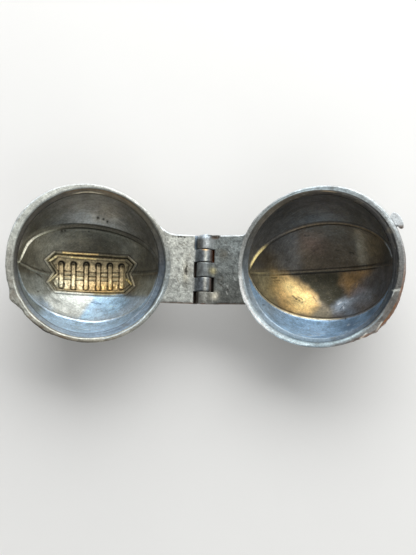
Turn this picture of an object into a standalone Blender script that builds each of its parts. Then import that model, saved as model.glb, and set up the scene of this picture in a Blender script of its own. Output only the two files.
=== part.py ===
"""Ice cream mould: two hinged pewter half bowls that close into a laced ball.

The mould lies open, resting on the round backs of its two halves. X runs along the
open length, Y along the hinge and Z up. The origin is on the resting surface, under
the middle of the hinge. The laced half is at -X and the plain half is at +X.

Each half is modelled in its own frame: u runs from the hinge axis outwards, v along
the hinge, and w up from the hinge axis. The halves then tip about the hinge, because
the open hinge hangs a little lower than the outer ends.
"""
import math

import bmesh
import bpy
from mathutils import Vector

MM = 0.001

# Ball cavity and wall
CAVITY_RADIUS = 30.5 * MM
WALL = 3.0 * MM
SHELL_RADIUS = CAVITY_RADIUS + WALL

# Rim: a flat band round a step that keeps the closed halves in register
STEP_WIDTH = 2.1 * MM
STEP_DEPTH = 1.2 * MM
STEP_CLEARANCE = 0.3 * MM
STEP_RADIUS = CAVITY_RADIUS + STEP_WIDTH
TONGUE_RADIUS = STEP_RADIUS - STEP_CLEARANCE
RIM_BAND = 1.9 * MM
RIM_OVALITY = 1.8 * MM
RIM_SHORT_RADIUS = STEP_RADIUS + RIM_BAND
RIM_LONG_RADIUS = RIM_SHORT_RADIUS + RIM_OVALITY
RIM_LONG_ANGLE = math.radians(27)
RIM_HEIGHT = 4.4 * MM
RIM_CHAMFER = 0.4 * MM
RIM_UNDERCUT = 1.6 * MM

# Gaps between pieces that touch, and between the closed halves
SOLDER_GAP = 0.3 * MM
PARTING_GAP = 0.3 * MM
PARTING_W = -PARTING_GAP / 2

# Hinge, with its knuckles listed from +Y to -Y; the plain half has every other one. Below each
# notch a shelf with a hollow face reaches under the other half's knuckle. The leaves and their
# barrel sit a little to -Y of the bowls' middle.
KNUCKLE_RADIUS = 3.3 * MM
KNUCKLE_LENGTHS = (6.2 * MM, 5.3 * MM, 6.3 * MM, 5.9 * MM, 5.0 * MM)
KNUCKLE_PLAY = 0.35 * MM
KNUCKLE_BLEND = 0.6 * MM
BARREL_LENGTH = sum(KNUCKLE_LENGTHS) + KNUCKLE_PLAY * (len(KNUCKLE_LENGTHS) - 1)
BARREL_SHIFT = -1.15 * MM
BARREL_HIGH = BARREL_SHIFT + BARREL_LENGTH / 2
BARREL_LOW = BARREL_SHIFT - BARREL_LENGTH / 2
NOTCH_CLEARANCE = 0.4 * MM
NOTCH_REACH = KNUCKLE_RADIUS + KNUCKLE_BLEND + NOTCH_CLEARANCE
SHELF_TOP = 2.1 * MM
SHELF_REACH = 2.2 * MM
PIN_RADIUS = 1.25 * MM
PIN_CLEARANCE = 0.3 * MM
PIN_CHAMFER = 0.3 * MM

# Hinge leaves
HINGE_TO_RIM = 14.0 * MM
LEAF_THICKNESS = 4.4 * MM
LACED_LEAF_FILLET = 12.0 * MM
PLAIN_LEAF_FILLET = 3.0 * MM
LEAF_TIP = 0.9 * MM
BOWL_REACH = HINGE_TO_RIM + RIM_LONG_RADIUS

# Rest pose: how far each half tips up at its outer end, and the flat worn on its back
OPEN_SAG = math.radians(11)
SEAT_WEAR = 0.5 * MM
HINGE_HEIGHT = (
    SHELL_RADIUS - SEAT_WEAR - BOWL_REACH * math.sin(OPEN_SAG) - PARTING_W * math.cos(OPEN_SAG)
)

# Seams of the ball: beads round the cavity, from pole to pole
SEAM_RADIUS = 1.1 * MM
SEAM_RISE = 0.65 * MM
SEAM_STOP = 1.8 * MM
POLE_TILT = math.radians(2.8)
LACED_SEAM_ANGLES = (math.radians(40), math.radians(-6), math.radians(-52))
PLAIN_SEAM_ANGLES = (math.radians(45.5), math.radians(3), math.radians(-44.5))

# Lacing: a fishtailed border round six laces, laid along the laced half's middle seam
PANEL_HALF_LENGTH = 17.0 * MM
PANEL_HALF_WIDTH = 9.0 * MM
PANEL_TAIL = 3.2 * MM
PANEL_NOTCH_HALF_WIDTH = 4.8 * MM
BORDER_RADIUS = 0.9 * MM
BORDER_RISE = 0.5 * MM
LACE_COUNT = 6
LACE_PITCH = 5.5 * MM
LACE_LENGTH = 12.4 * MM
LACE_RADIUS = 1.2 * MM
LACE_DEPTH = 0.7 * MM

# Thumb lug on the plain half's rim: outline as (out from the rim, along the rim) from its middle
LUG_ANGLE = math.radians(31)
LUG_THICKNESS = 3.4 * MM
LUG_ROOT_HALF_WIDTH = 2.3 * MM
LUG_HEAD = (
    (0.55 * MM, -2.7 * MM),
    (1.0 * MM, -4.5 * MM),
    (2.2 * MM, -5.0 * MM),
    (3.5 * MM, -2.4 * MM),
    (3.5 * MM, 0.6 * MM),
    (2.4 * MM, 2.8 * MM),
    (1.2 * MM, 3.1 * MM),
)

# Fineness of the round forms
BOWL_SEGMENTS = 64
BOWL_RINGS = 12
BEAD_SIDES = 6
KNUCKLE_SEGMENTS = 24
CURVE_STEPS = 4

LACED, PLAIN = -1, 1


def clear_scene():
    for item in list(bpy.data.objects):
        bpy.data.objects.remove(item, do_unlink=True)


def pewter(name, colour, roughness):
    material = bpy.data.materials.new(name)
    material.use_nodes = True
    shader = material.node_tree.nodes["Principled BSDF"]
    shader.inputs["Base Color"].default_value = (*colour, 1.0)
    shader.inputs["Roughness"].default_value = roughness
    shader.inputs["Metallic"].default_value = 1.0
    material.diffuse_color = (*colour, 1.0)
    return material


def make_object(name, shape, side, material=None):
    """Turn a bmesh in a half's frame into an object whose origin is on the hinge axis."""
    bmesh.ops.recalc_face_normals(shape, faces=shape.faces)
    mesh = bpy.data.meshes.new(name)
    shape.to_mesh(mesh)
    shape.free()
    item = bpy.data.objects.new(name, mesh)
    bpy.context.scene.collection.objects.link(item)
    item.location = (0.0, 0.0, HINGE_HEIGHT)
    item.rotation_euler = (0.0, -side * OPEN_SAG, 0.0)
    if material:
        mesh.materials.append(material)
    return item


def combine(target, tool, operation):
    """Join the tool to the target, or cut it away, and remove the tool."""
    bpy.context.view_layer.update()
    modifier = target.modifiers.new(operation.title(), "BOOLEAN")
    modifier.operation = operation
    modifier.solver = "EXACT"
    modifier.object = tool
    evaluated = target.evaluated_get(bpy.context.evaluated_depsgraph_get())
    result = bpy.data.meshes.new_from_object(evaluated)
    result.name = target.name
    target.modifiers.clear()
    target.data = result
    bpy.data.objects.remove(tool, do_unlink=True)


def smooth(item, angle=math.radians(35)):
    item.data.shade_smooth()
    item.data.set_sharp_from_angle(angle=angle)


def rim_radius(azimuth):
    """Outer radius of the oval rim; azimuth runs from outwards towards +v."""
    turn = azimuth - RIM_LONG_ANGLE
    return 1.0 / math.hypot(math.cos(turn) / RIM_LONG_RADIUS, math.sin(turn) / RIM_SHORT_RADIUS)


def round_bowl(side, azimuth, radius, w):
    """A point at a distance from the bowl's own axis, in the half's frame."""
    u = BOWL_REACH + radius * math.cos(azimuth)
    v = radius * math.sin(azimuth)
    return Vector((side * u, v, PARTING_W + w))


def sphere_rings(radius, top, rings):
    """Rings (radius, w) of a round bowl from just off its lowest point up to w = top."""
    last = math.acos(-top / radius)
    angles = [last * ring / rings for ring in range(1, rings + 1)]
    return [(radius * math.sin(angle), -radius * math.cos(angle)) for angle in angles]


def bowl_rings(azimuth, tongue):
    """Profile of a bowl at one azimuth, from inside its bottom over the rim to its back."""
    edge = rim_radius(azimuth)
    if tongue:
        inside = sphere_rings(CAVITY_RADIUS, STEP_DEPTH, BOWL_RINGS)
        step = [(TONGUE_RADIUS, STEP_DEPTH), (TONGUE_RADIUS, 0.0)]
    else:
        inside = sphere_rings(CAVITY_RADIUS, -STEP_DEPTH, BOWL_RINGS)
        step = [(STEP_RADIUS, -STEP_DEPTH), (STEP_RADIUS, 0.0)]
    rim = [
        (edge - RIM_CHAMFER, 0.0),
        (edge, -RIM_CHAMFER),
        (edge, -RIM_HEIGHT + RIM_CHAMFER),
        (edge - RIM_CHAMFER, -RIM_HEIGHT),
    ]
    back = sphere_rings(SHELL_RADIUS, -RIM_HEIGHT - RIM_UNDERCUT, BOWL_RINGS)
    return inside + step + rim + back[::-1]


def bowl_shape(side, tongue):
    shape = bmesh.new()
    columns = []
    for segment in range(BOWL_SEGMENTS):
        azimuth = 2 * math.pi * segment / BOWL_SEGMENTS
        points = [round_bowl(side, azimuth, *ring) for ring in bowl_rings(azimuth, tongue)]
        columns.append([shape.verts.new(point) for point in points])
    inner_pole = shape.verts.new(round_bowl(side, 0.0, 0.0, -CAVITY_RADIUS))
    outer_pole = shape.verts.new(round_bowl(side, 0.0, 0.0, -SHELL_RADIUS))
    for column, following in zip(columns, columns[1:] + columns[:1]):
        shape.faces.new((inner_pole, column[0], following[0]))
        shape.faces.new((outer_pole, following[-1], column[-1]))
        for low in range(len(column) - 1):
            shape.faces.new((column[low], column[low + 1], following[low + 1], following[low]))
    return shape


def on_ball(side, radius, pole_angle, seam_angle):
    """A point by its angle from the outer pole and its angle about the pole axis from straight down."""
    along = math.cos(pole_angle)
    across = math.sin(pole_angle) * math.sin(seam_angle)
    down = math.sin(pole_angle) * math.cos(seam_angle)
    u = along * math.cos(POLE_TILT) - across * math.sin(POLE_TILT)
    v = along * math.sin(POLE_TILT) + across * math.cos(POLE_TILT)
    return Vector((side * (BOWL_REACH + radius * u), radius * v, PARTING_W - radius * down))


def on_panel(side, radius, along, across):
    """A point of the lacing panel, laid flat along the middle seam, on a ball of the given radius."""
    pole_angle = math.acos(along / radius)
    seam_angle = LACED_SEAM_ANGLES[1] + math.asin(across / (radius * math.sin(pole_angle)))
    return on_ball(side, radius, pole_angle, seam_angle)


def ball_centre(side):
    return Vector((side * BOWL_REACH, 0.0, PARTING_W))


def bead(path, radii, centre, closed=False):
    """A round bead along a path that lies on a ball about the centre."""
    shape = bmesh.new()
    count = len(path)
    rings = []
    for index, point in enumerate(path):
        before = path[index - 1] if closed or index else point
        after = path[(index + 1) % count] if closed or index < count - 1 else point
        up = (point - centre).normalized()
        beside = (after - before).cross(up).normalized()
        ring = []
        for step in range(BEAD_SIDES):
            turn = 2 * math.pi * (step + 0.5) / BEAD_SIDES
            offset = up * math.cos(turn) + beside * math.sin(turn)
            ring.append(shape.verts.new(point + offset * radii[index]))
        rings.append(ring)
    last = count if closed else count - 1
    for index in range(last):
        ring, following = rings[index], rings[(index + 1) % count]
        for step in range(BEAD_SIDES):
            beyond = (step + 1) % BEAD_SIDES
            shape.faces.new((ring[step], ring[beyond], following[beyond], following[step]))
    if not closed:
        shape.faces.new(rings[0])
        shape.faces.new(rings[-1])
    return shape


def seam_bead(side, seam_angle, start, end):
    """The bead of one seam between two angles from the outer pole."""
    radius = CAVITY_RADIUS + SEAM_RADIUS - SEAM_RISE
    steps = max(6, round((end - start) / math.radians(5)))
    angles = [start + (end - start) * step / steps for step in range(steps + 1)]
    path = [on_ball(side, radius, angle, seam_angle) for angle in angles]
    return bead(path, [SEAM_RADIUS] * len(path), ball_centre(side))


def seam_stop_angle(seam_angle):
    """The angle from a pole where a seam's bead ends, clear below the rim's step."""
    depth = STEP_DEPTH + SEAM_STOP
    return math.asin(depth / (CAVITY_RADIUS * math.cos(seam_angle)))


def add_seams(bowl, side, seam_angles):
    for seam_angle in seam_angles:
        stop = seam_stop_angle(seam_angle)
        shape = seam_bead(side, seam_angle, stop, math.pi - stop)
        combine(bowl, make_object("seam", shape, side), "UNION")


def add_split_seam(bowl, side, seam_angle):
    """The middle seam of the laced half, which stops at both ends of the lacing."""
    stop = seam_stop_angle(seam_angle)
    panel_end = math.acos((PANEL_HALF_LENGTH + BORDER_RADIUS) / CAVITY_RADIUS)
    for start, end in ((stop, panel_end), (math.pi - panel_end, math.pi - stop)):
        shape = seam_bead(side, seam_angle, start, end)
        combine(bowl, make_object("seam", shape, side), "UNION")


def border_corners():
    """Corners of the lacing's border, with a fishtail notch at each end."""
    tip = PANEL_HALF_LENGTH + PANEL_TAIL
    quarter = [
        (PANEL_HALF_LENGTH, 0.0),
        (tip, PANEL_NOTCH_HALF_WIDTH),
        (PANEL_HALF_LENGTH, PANEL_HALF_WIDTH),
    ]
    upper = quarter + [(-along, across) for along, across in quarter[::-1]]
    lower = [(-along, -across) for along, across in upper[1:-1]]
    return upper + lower


def border_path(side, radius):
    corners = border_corners()
    path = []
    for (along, across), (to_along, to_across) in zip(corners, corners[1:] + corners[:1]):
        steps = max(2, round(math.hypot(to_along - along, to_across - across) / (4 * MM)))
        for step in range(steps):
            share = step / steps
            at = (along + (to_along - along) * share, across + (to_across - across) * share)
            path.append(on_panel(side, radius, *at))
    return path


def add_lacing_border(bowl, side):
    radius = CAVITY_RADIUS + BORDER_RADIUS - BORDER_RISE
    path = border_path(side, radius)
    shape = bead(path, [BORDER_RADIUS] * len(path), ball_centre(side), closed=True)
    combine(bowl, make_object("border", shape, side), "UNION")


def cut_laces(bowl, side):
    """Round-ended grooves across the middle seam, one for each lace of the ball."""
    radius = CAVITY_RADIUS - LACE_RADIUS + LACE_DEPTH
    straight = LACE_LENGTH / 2 - LACE_RADIUS
    ends = [math.radians(angle) for angle in (75, 50, 25)]
    tip = [(straight + LACE_RADIUS * math.sin(angle), LACE_RADIUS * math.cos(angle)) for angle in ends]
    steps = 4
    middle = [(straight * (1 - 2 * step / steps), LACE_RADIUS) for step in range(steps + 1)]
    rows = tip + middle + [(-across, size) for across, size in tip[::-1]]
    for lace in range(LACE_COUNT):
        along = LACE_PITCH * (lace - (LACE_COUNT - 1) / 2)
        path = [on_panel(side, radius, along, across) for across, size in rows]
        shape = bead(path, [size for across, size in rows], ball_centre(side))
        combine(bowl, make_object("lace", shape, side), "DIFFERENCE")


def wear_seat(bowl, side):
    """Cut the worn flat that the half rests on: all below the resting surface."""
    shape = bmesh.new()
    bmesh.ops.create_cube(shape, size=2 * SHELL_RADIUS)
    cutter = make_object("surface", shape, side)
    cutter.rotation_euler = (0.0, 0.0, 0.0)
    cutter.location = (side * BOWL_REACH * math.cos(OPEN_SAG), 0.0, -SHELL_RADIUS)
    combine(bowl, cutter, "DIFFERENCE")


def make_bowl(name, side, material):
    bowl = make_object(name, bowl_shape(side, tongue=side == PLAIN), side, material)
    if side == LACED:
        upper, middle, lower = LACED_SEAM_ANGLES
        add_seams(bowl, side, (upper, lower))
        add_split_seam(bowl, side, middle)
        add_lacing_border(bowl, side)
        cut_laces(bowl, side)
    else:
        add_seams(bowl, side, PLAIN_SEAM_ANGLES)
    wear_seat(bowl, side)
    smooth(bowl)
    return bowl


def knuckle_spans():
    """Ends of each knuckle along v, from +v to -v."""
    spans = []
    high = BARREL_HIGH
    for length in KNUCKLE_LENGTHS:
        spans.append((high - length, high))
        high -= length + KNUCKLE_PLAY
    return spans


def extrude_outline(side, outline, low, high):
    """A solid from an outline in u and v, between two heights in w."""
    shape = bmesh.new()
    lower = [shape.verts.new((side * u, v, low)) for u, v in outline]
    upper = [shape.verts.new((side * u, v, high)) for u, v in outline]
    shape.faces.new(lower)
    shape.faces.new(upper)
    for index in range(len(outline)):
        following = (index + 1) % len(outline)
        shape.faces.new((lower[index], lower[following], upper[following], upper[index]))
    return shape


def extrude_profile(side, profile, low, high):
    """A solid from a profile in u and w, between two places along v."""
    shape = bmesh.new()
    near = [shape.verts.new((side * u, low, w)) for u, w in profile]
    far = [shape.verts.new((side * u, high, w)) for u, w in profile]
    shape.faces.new(near)
    shape.faces.new(far)
    for index in range(len(profile)):
        following = (index + 1) % len(profile)
        shape.faces.new((near[index], near[following], far[following], far[index]))
    return shape


def rim_azimuth_at(v):
    """Azimuth on the hinge side where the leaf's mating curve reaches a given v."""
    azimuth = math.pi
    for _ in range(20):
        azimuth = math.pi - math.asin(v / (rim_radius(azimuth) + SOLDER_GAP))
    return azimuth


def beside_rim(azimuth):
    """A point (u, v) just outside the rim, where a leaf or the lug is soldered on."""
    radius = rim_radius(azimuth) + SOLDER_GAP
    return BOWL_REACH + radius * math.cos(azimuth), radius * math.sin(azimuth)


def leaf_fillet(fillet):
    """Arc from the leaf's +v edge towards the rim, ending in a blunt tip beside the rim."""
    edge = BARREL_HIGH
    azimuth = rim_azimuth_at(edge)
    for _ in range(20):
        reach = rim_radius(azimuth) + fillet
        centre_u = BOWL_REACH - math.sqrt(reach ** 2 - (edge + fillet) ** 2)
        azimuth = math.pi - math.asin((edge + fillet) / reach)
    centre = Vector((centre_u, edge + fillet))
    points = []
    turn = -math.pi / 2
    while True:
        point = centre + Vector((math.cos(turn), math.sin(turn))) * fillet
        offset = point - Vector((BOWL_REACH, 0.0))
        azimuth = math.atan2(offset.y, offset.x)
        if offset.length < rim_radius(azimuth) + SOLDER_GAP + LEAF_TIP:
            return points, azimuth
        points.append(tuple(point))
        turn += math.radians(6)


def leaf_outline(fillet):
    fillet_points, tip_azimuth = leaf_fillet(fillet)
    first = rim_azimuth_at(BARREL_LOW)
    steps = 14
    mating = [beside_rim(first + (tip_azimuth - first) * step / steps) for step in range(steps + 1)]
    return [(NOTCH_REACH, BARREL_HIGH), (NOTCH_REACH, BARREL_LOW)] + mating + fillet_points[::-1]


def knuckle_profile():
    """Barrel, its tangent slope onto the leaf's face, and the square root below it."""
    blend = KNUCKLE_RADIUS + KNUCKLE_BLEND
    start = math.acos(KNUCKLE_RADIUS / blend)
    steps = KNUCKLE_SEGMENTS // 2
    angles = [start + (1.5 * math.pi - start) * step / steps for step in range(steps + 1)]
    barrel = [(KNUCKLE_RADIUS * math.cos(angle), KNUCKLE_RADIUS * math.sin(angle)) for angle in angles]
    bottom = PARTING_W - LEAF_THICKNESS
    root = NOTCH_REACH + KNUCKLE_RADIUS / 2
    return barrel + [(0.0, bottom), (root, bottom), (root, PARTING_W), (blend, PARTING_W)]


def shelf_profile():
    """Shelf along the leaf's hinge side, hollowed round the barrel with a clearance."""
    hollow = KNUCKLE_RADIUS + NOTCH_CLEARANCE
    bottom = PARTING_W - LEAF_THICKNESS
    root = NOTCH_REACH + KNUCKLE_RADIUS / 2
    first, last = -math.asin(SHELF_TOP / hollow), -math.acos(SHELF_REACH / hollow)
    turns = [first + (last - first) * step / CURVE_STEPS for step in range(CURVE_STEPS + 1)]
    face = [(hollow * math.cos(turn), hollow * math.sin(turn)) for turn in turns]
    return face + [(SHELF_REACH, bottom), (root, bottom), (root, -SHELF_TOP)]


def pin_shape(side, radius, low, high, chamfer=0.0):
    """A pin along the hinge axis, with chamfered ends where a chamfer is given."""
    rows = [(low, radius - chamfer), (high, radius - chamfer)]
    if chamfer:
        rows[1:1] = [(low + chamfer, radius), (high - chamfer, radius)]
    shape = bmesh.new()
    rings = []
    for v, size in rows:
        turns = [2 * math.pi * step / KNUCKLE_SEGMENTS for step in range(KNUCKLE_SEGMENTS)]
        rings.append([shape.verts.new((size * math.cos(t), v, size * math.sin(t))) for t in turns])
    for ring, following in zip(rings, rings[1:]):
        for step in range(KNUCKLE_SEGMENTS):
            beyond = (step + 1) % KNUCKLE_SEGMENTS
            shape.faces.new((ring[step], ring[beyond], following[beyond], following[step]))
    shape.faces.new(rings[0])
    shape.faces.new(rings[-1])
    return shape


def make_leaf(name, side, material, fillet):
    bottom = PARTING_W - LEAF_THICKNESS
    leaf = make_object(name, extrude_outline(side, leaf_outline(fillet), bottom, PARTING_W), side, material)
    spans = knuckle_spans()
    own = spans[0::2] if side == PLAIN else spans[1::2]
    low, high = BARREL_LOW, BARREL_HIGH
    if side == PLAIN:
        low, high = low + KNUCKLE_LENGTHS[-1] / 2, high - KNUCKLE_LENGTHS[0] / 2
    combine(leaf, make_object("shelf", extrude_profile(side, shelf_profile(), low, high), side), "UNION")
    for low, high in own:
        knuckle = make_object("knuckle", extrude_profile(side, knuckle_profile(), low, high), side)
        combine(leaf, knuckle, "UNION")
    through = KNUCKLE_RADIUS
    bore_shape = pin_shape(side, PIN_RADIUS + PIN_CLEARANCE, BARREL_LOW - through, BARREL_HIGH + through)
    bore = make_object("bore", bore_shape, side)
    combine(leaf, bore, "DIFFERENCE")
    smooth(leaf)
    return leaf


def make_pin(name, material):
    """The pin turns with the plain half, whose end knuckles hold it."""
    shape = pin_shape(PLAIN, PIN_RADIUS, BARREL_LOW, BARREL_HIGH, PIN_CHAMFER)
    pin = make_object(name, shape, PLAIN, material)
    smooth(pin)
    return pin


def lug_point(out, along):
    """A point (u, v) given out from the rim and along it from the lug's middle."""
    azimuth = LUG_ANGLE + along / rim_radius(LUG_ANGLE)
    radius = rim_radius(azimuth) + out
    return BOWL_REACH + radius * math.cos(azimuth), radius * math.sin(azimuth)


def lug_outline():
    """The lug's root along the rim, and its rounded head drawn as a smooth curve."""
    steps = CURVE_STEPS
    root = [
        lug_point(SOLDER_GAP, LUG_ROOT_HALF_WIDTH * (1 - 2 * step / steps)) for step in range(steps + 1)
    ]
    knots = (LUG_HEAD[0],) + LUG_HEAD + (LUG_HEAD[-1],)
    head = []
    for start in range(len(LUG_HEAD) - 1):
        before, here, there, beyond = (Vector(knots[start + offset]) for offset in range(4))
        for step in range(CURVE_STEPS):
            t = step / CURVE_STEPS
            slope_in, slope_out = (there - before) / 2, (beyond - here) / 2
            point = (
                here * (2 * t ** 3 - 3 * t ** 2 + 1)
                + slope_in * (t ** 3 - 2 * t ** 2 + t)
                + there * (3 * t ** 2 - 2 * t ** 3)
                + slope_out * (t ** 3 - t ** 2)
            )
            head.append(lug_point(*point))
    return root + head + [lug_point(*LUG_HEAD[-1])]


def make_lug(name, material):
    shape = extrude_outline(PLAIN, lug_outline(), PARTING_W - LUG_THICKNESS, PARTING_W)
    lug = make_object(name, shape, PLAIN, material)
    smooth(lug)
    return lug


def main():
    clear_scene()
    bowl_metal = pewter("laced_bowl", (0.42, 0.41, 0.37), 0.38)
    plain_metal = pewter("plain_bowl", (0.40, 0.40, 0.37), 0.36)
    laced_leaf_metal = pewter("laced_hinge_leaf", (0.56, 0.56, 0.53), 0.5)
    plain_leaf_metal = pewter("plain_hinge_leaf", (0.42, 0.44, 0.45), 0.48)
    pin_metal = pewter("hinge_pin", (0.25, 0.17, 0.11), 0.7)
    lug_metal = pewter("thumb_lug", (0.60, 0.59, 0.55), 0.45)
    make_bowl("laced_bowl", LACED, bowl_metal)
    make_bowl("plain_bowl", PLAIN, plain_metal)
    make_leaf("laced_hinge_leaf", LACED, laced_leaf_metal, LACED_LEAF_FILLET)
    make_leaf("plain_hinge_leaf", PLAIN, plain_leaf_metal, PLAIN_LEAF_FILLET)
    make_pin("hinge_pin", pin_metal)
    make_lug("thumb_lug", lug_metal)


main()
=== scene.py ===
"""Looks of the ice cream mould: fine pewter castings, their tarnish colours with light and shade painted in,
studio and camera.

Shapes are worked out in millimetres in each half's own frame: u runs from the hinge
axis outwards, v along the hinge and w up. The laced half is at -X, the plain at +X.
Colours are display values from 0 to 255 wherever they are written down.
"""

import math

import bmesh
import bpy
import numpy as np
from mathutils import Matrix, Vector


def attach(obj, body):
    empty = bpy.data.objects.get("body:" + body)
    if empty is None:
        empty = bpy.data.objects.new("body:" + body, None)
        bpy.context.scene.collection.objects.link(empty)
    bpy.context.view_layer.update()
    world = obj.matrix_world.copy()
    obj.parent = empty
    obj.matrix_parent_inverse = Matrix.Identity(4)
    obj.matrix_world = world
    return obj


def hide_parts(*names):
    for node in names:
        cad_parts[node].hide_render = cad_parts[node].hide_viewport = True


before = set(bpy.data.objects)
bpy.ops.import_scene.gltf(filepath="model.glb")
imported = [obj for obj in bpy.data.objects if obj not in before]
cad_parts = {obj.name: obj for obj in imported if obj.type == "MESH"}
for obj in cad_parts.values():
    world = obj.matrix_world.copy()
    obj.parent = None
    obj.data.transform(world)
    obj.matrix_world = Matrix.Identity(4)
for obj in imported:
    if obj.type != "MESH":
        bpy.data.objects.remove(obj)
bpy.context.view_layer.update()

MM = 0.001
LACED, PLAIN = -1, 1
SAG = math.radians(11)
HINGE_HEIGHT = 23.5496
REACH = 50.3
PARTING = -0.15
CAVITY = 30.5
SHELL = 33.5

# Rim: radius by azimuth, from outwards (0) towards +v (90) and the hinge (180)
RIM_OUTER = {
    LACED: ((0, 35.1), (18, 35.7), (34, 36.3), (52, 36.1), (72, 35.2), (92, 34.5), (116, 34.0),
            (136, 34.2), (152, 34.9), (180, 35.7), (206, 35.6), (238, 35.3), (258, 34.7),
            (285, 34.3), (304, 34.6), (320, 35.2), (344, 35.4)),
    PLAIN: ((0, 35.6), (22, 35.8), (45, 35.7), (64, 35.3), (90, 34.5), (108, 34.3), (128, 34.6),
            (150, 35.3), (165, 35.0), (180, 34.9), (194, 35.2), (206, 35.7), (232, 35.2),
            (252, 34.5), (276, 34.2), (290, 34.2), (304, 35.4), (318, 36.2), (334, 36.0), (348, 35.5)),
}
RIM_STEP = {
    LACED: ((0, 32.1), (40, 32.8), (90, 33.0), (135, 33.1), (180, 33.7), (215, 33.5), (250, 33.1),
            (285, 32.7), (325, 32.5)),
    PLAIN: ((0, 32.6), (45, 32.9), (90, 32.9), (140, 33.4), (180, 33.5), (215, 33.4), (250, 32.8),
            (285, 32.7), (325, 32.6)),
}
# Bulges and nicks of the outer edge: azimuth, width in degrees, rise
RIM_NICKS = {
    LACED: ((332, 3.2, 1.5), (322, 5, -0.3), (300, 2, 0.35)),
    PLAIN: ((312, 2.4, 0.45), (297, 3, -0.35)),
}
# Lip from the cavity to the flat band: rings (radius, w), then rings (radius from the step, w)
LIP_RINGS = {
    LACED: (((30.42, -2.2), (30.62, -1.7), (31.02, -1.36)),
            ((-1.1, -1.16), (-0.5, -0.86), (-0.16, -0.36), (0.12, -0.03), (0.45, 0.0))),
    PLAIN: (((30.46, 0.3), (30.52, 0.52), (30.75, 0.66), (31.2, 0.7)),
            ((-0.85, 0.66), (-0.6, 0.48), (-0.42, 0.25), (-0.28, 0.08), (0.05, 0.0), (0.5, 0.0))),
}
RIM_HEIGHT = 4.4
RIM_ROUNDING = 0.75
SOLDERED_ROUNDING = 0.06
UNDER_ROUNDING = 0.5
NECK_DROP = 1.2

# Seams: tilt of the pole axis, and each seam's angle about it as a + b cos + c cos^2 (degrees)
POLE_TILT = {LACED: 4.33, PLAIN: 4.22}
SEAMS = {
    LACED: ((38.3, 1.1, 1.6), (-4.4, -8.4, -2.6), (-52.0, 2.3, -13.2)),
    PLAIN: ((46.1, -1.1, -1.6), (3.8, -0.7, -0.6), (-43.8, -3.9, -6.9)),
}
# Each seam's bead: middle, half width and rise
SEAM_BEADS = {
    LACED: ((0.6, 1.4, 0.65), (-0.2, 1.0, 0.3), (0.0, 1.0, 0.5)),
    PLAIN: ((0.1, 1.1, 0.6), (-0.35, 0.85, 0.35), (-0.4, 1.0, 0.5)),
}
# The dark lines beside each seam, painted shade on the beads' flanks with some grime: distance, half width,
# depth
SEAM_SHADE_AND_GRIME_LINES = {
    LACED: (((-0.25, 0.8, 0.5), (1.8, 0.6, 0.35)), ((-1.3, 0.4, 0.2), (0.7, 0.5, 0.35)),
            ((0.95, 0.5, 0.25),)),
    PLAIN: (((-0.9, 0.5, 0.6), (1.05, 0.5, 0.6)), ((-1.2, 0.55, 1.0), (0.5, 0.5, 0.9)),
            ((1.0, 0.55, 0.5),)),
}
# Where the zone above the upper seam begins, and where the one below the lower seam ends
ZONE_EDGES = {LACED: ((1.7, 2.6), (-0.9, -0.2)), PLAIN: ((0.3, 1.1), (-1.4, -0.6))}
# Glint on the upper seam's end: a spot in plan, and its colour
GLINTS = {
    LACED: ((27.0, 8.0, 5, 8), (252, 248, 226)),
    PLAIN: ((-28.6, 5.5, 4.2, 6.5, 0, 4), (255, 232, 158)),
}

# Lacing, in plan about the bowl's centre: +a away from the hinge, +b towards +v
BORDER_OUTER = (
    (20.3, 3.0), (16.6, 7.1), (5.4, 7.5), (-6.0, 7.3), (-17.0, 6.3), (-20.7, 2.7), (-18.2, -1.8),
    (-20.2, -7.5), (-16.3, -11.3), (-6.0, -11.5), (4.4, -11.4), (15.3, -11.2), (18.9, -7.0),
    (16.6, -2.3),
)
BORDER_INNER = (
    (18.6, 2.5), (15.2, 5.7), (5.3, 5.6), (-6.0, 5.3), (-16.2, 4.7), (-18.8, 2.7), (-16.9, -2.0),
    (-18.9, -7.0), (-15.6, -9.9), (-6.0, -10.2), (4.5, -10.3), (15.2, -10.2), (18.0, -6.6),
    (15.0, -2.3),
)
LACE_TOPS = ((13.4, 2.1), (8.0, 2.3), (2.2, 2.5), (-3.4, 2.3), (-8.7, 2.3), (-14.1, 1.9))
LACE_FEET = ((13.0, -7.9), (7.6, -8.4), (1.9, -8.3), (-3.7, -8.4), (-9.2, -8.1), (-14.3, -7.6))
LACE_HALF_WIDTH = 1.4
LACE_DEPTH = 0.75
RIBS = (-2.05, -3.95)
SLITS = (-1.0, -3.0, -5.0)

# Hinge
KNUCKLE_RADIUS = 3.3
KNUCKLE_LENGTHS = (6.2, 5.3, 6.3, 5.9, 5.0)
KNUCKLE_PLAY = 0.35
BARREL = sum(KNUCKLE_LENGTHS) + KNUCKLE_PLAY * 4
BARREL_SHIFT = -1.15
BARREL_HIGH, BARREL_LOW = BARREL_SHIFT + BARREL / 2, BARREL_SHIFT - BARREL / 2
NOTCH_REACH = 4.3
NOTCH_CLEARANCE = 0.4
ROOT_REACH = NOTCH_REACH + 1.6
SHELF_TOP = 2.1
SHELF_REACH = 2.2
PIN_RADIUS = 1.25
BORE_RADIUS = 1.5
LEAF_THICKNESS = 4.4
LEAF_BOTTOM = PARTING - LEAF_THICKNESS
LEAF_FILLET = {LACED: 12.0, PLAIN: 3.0}
LEAF_SPAN = {LACED: (151, 205), PLAIN: (158, 205)}
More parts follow.
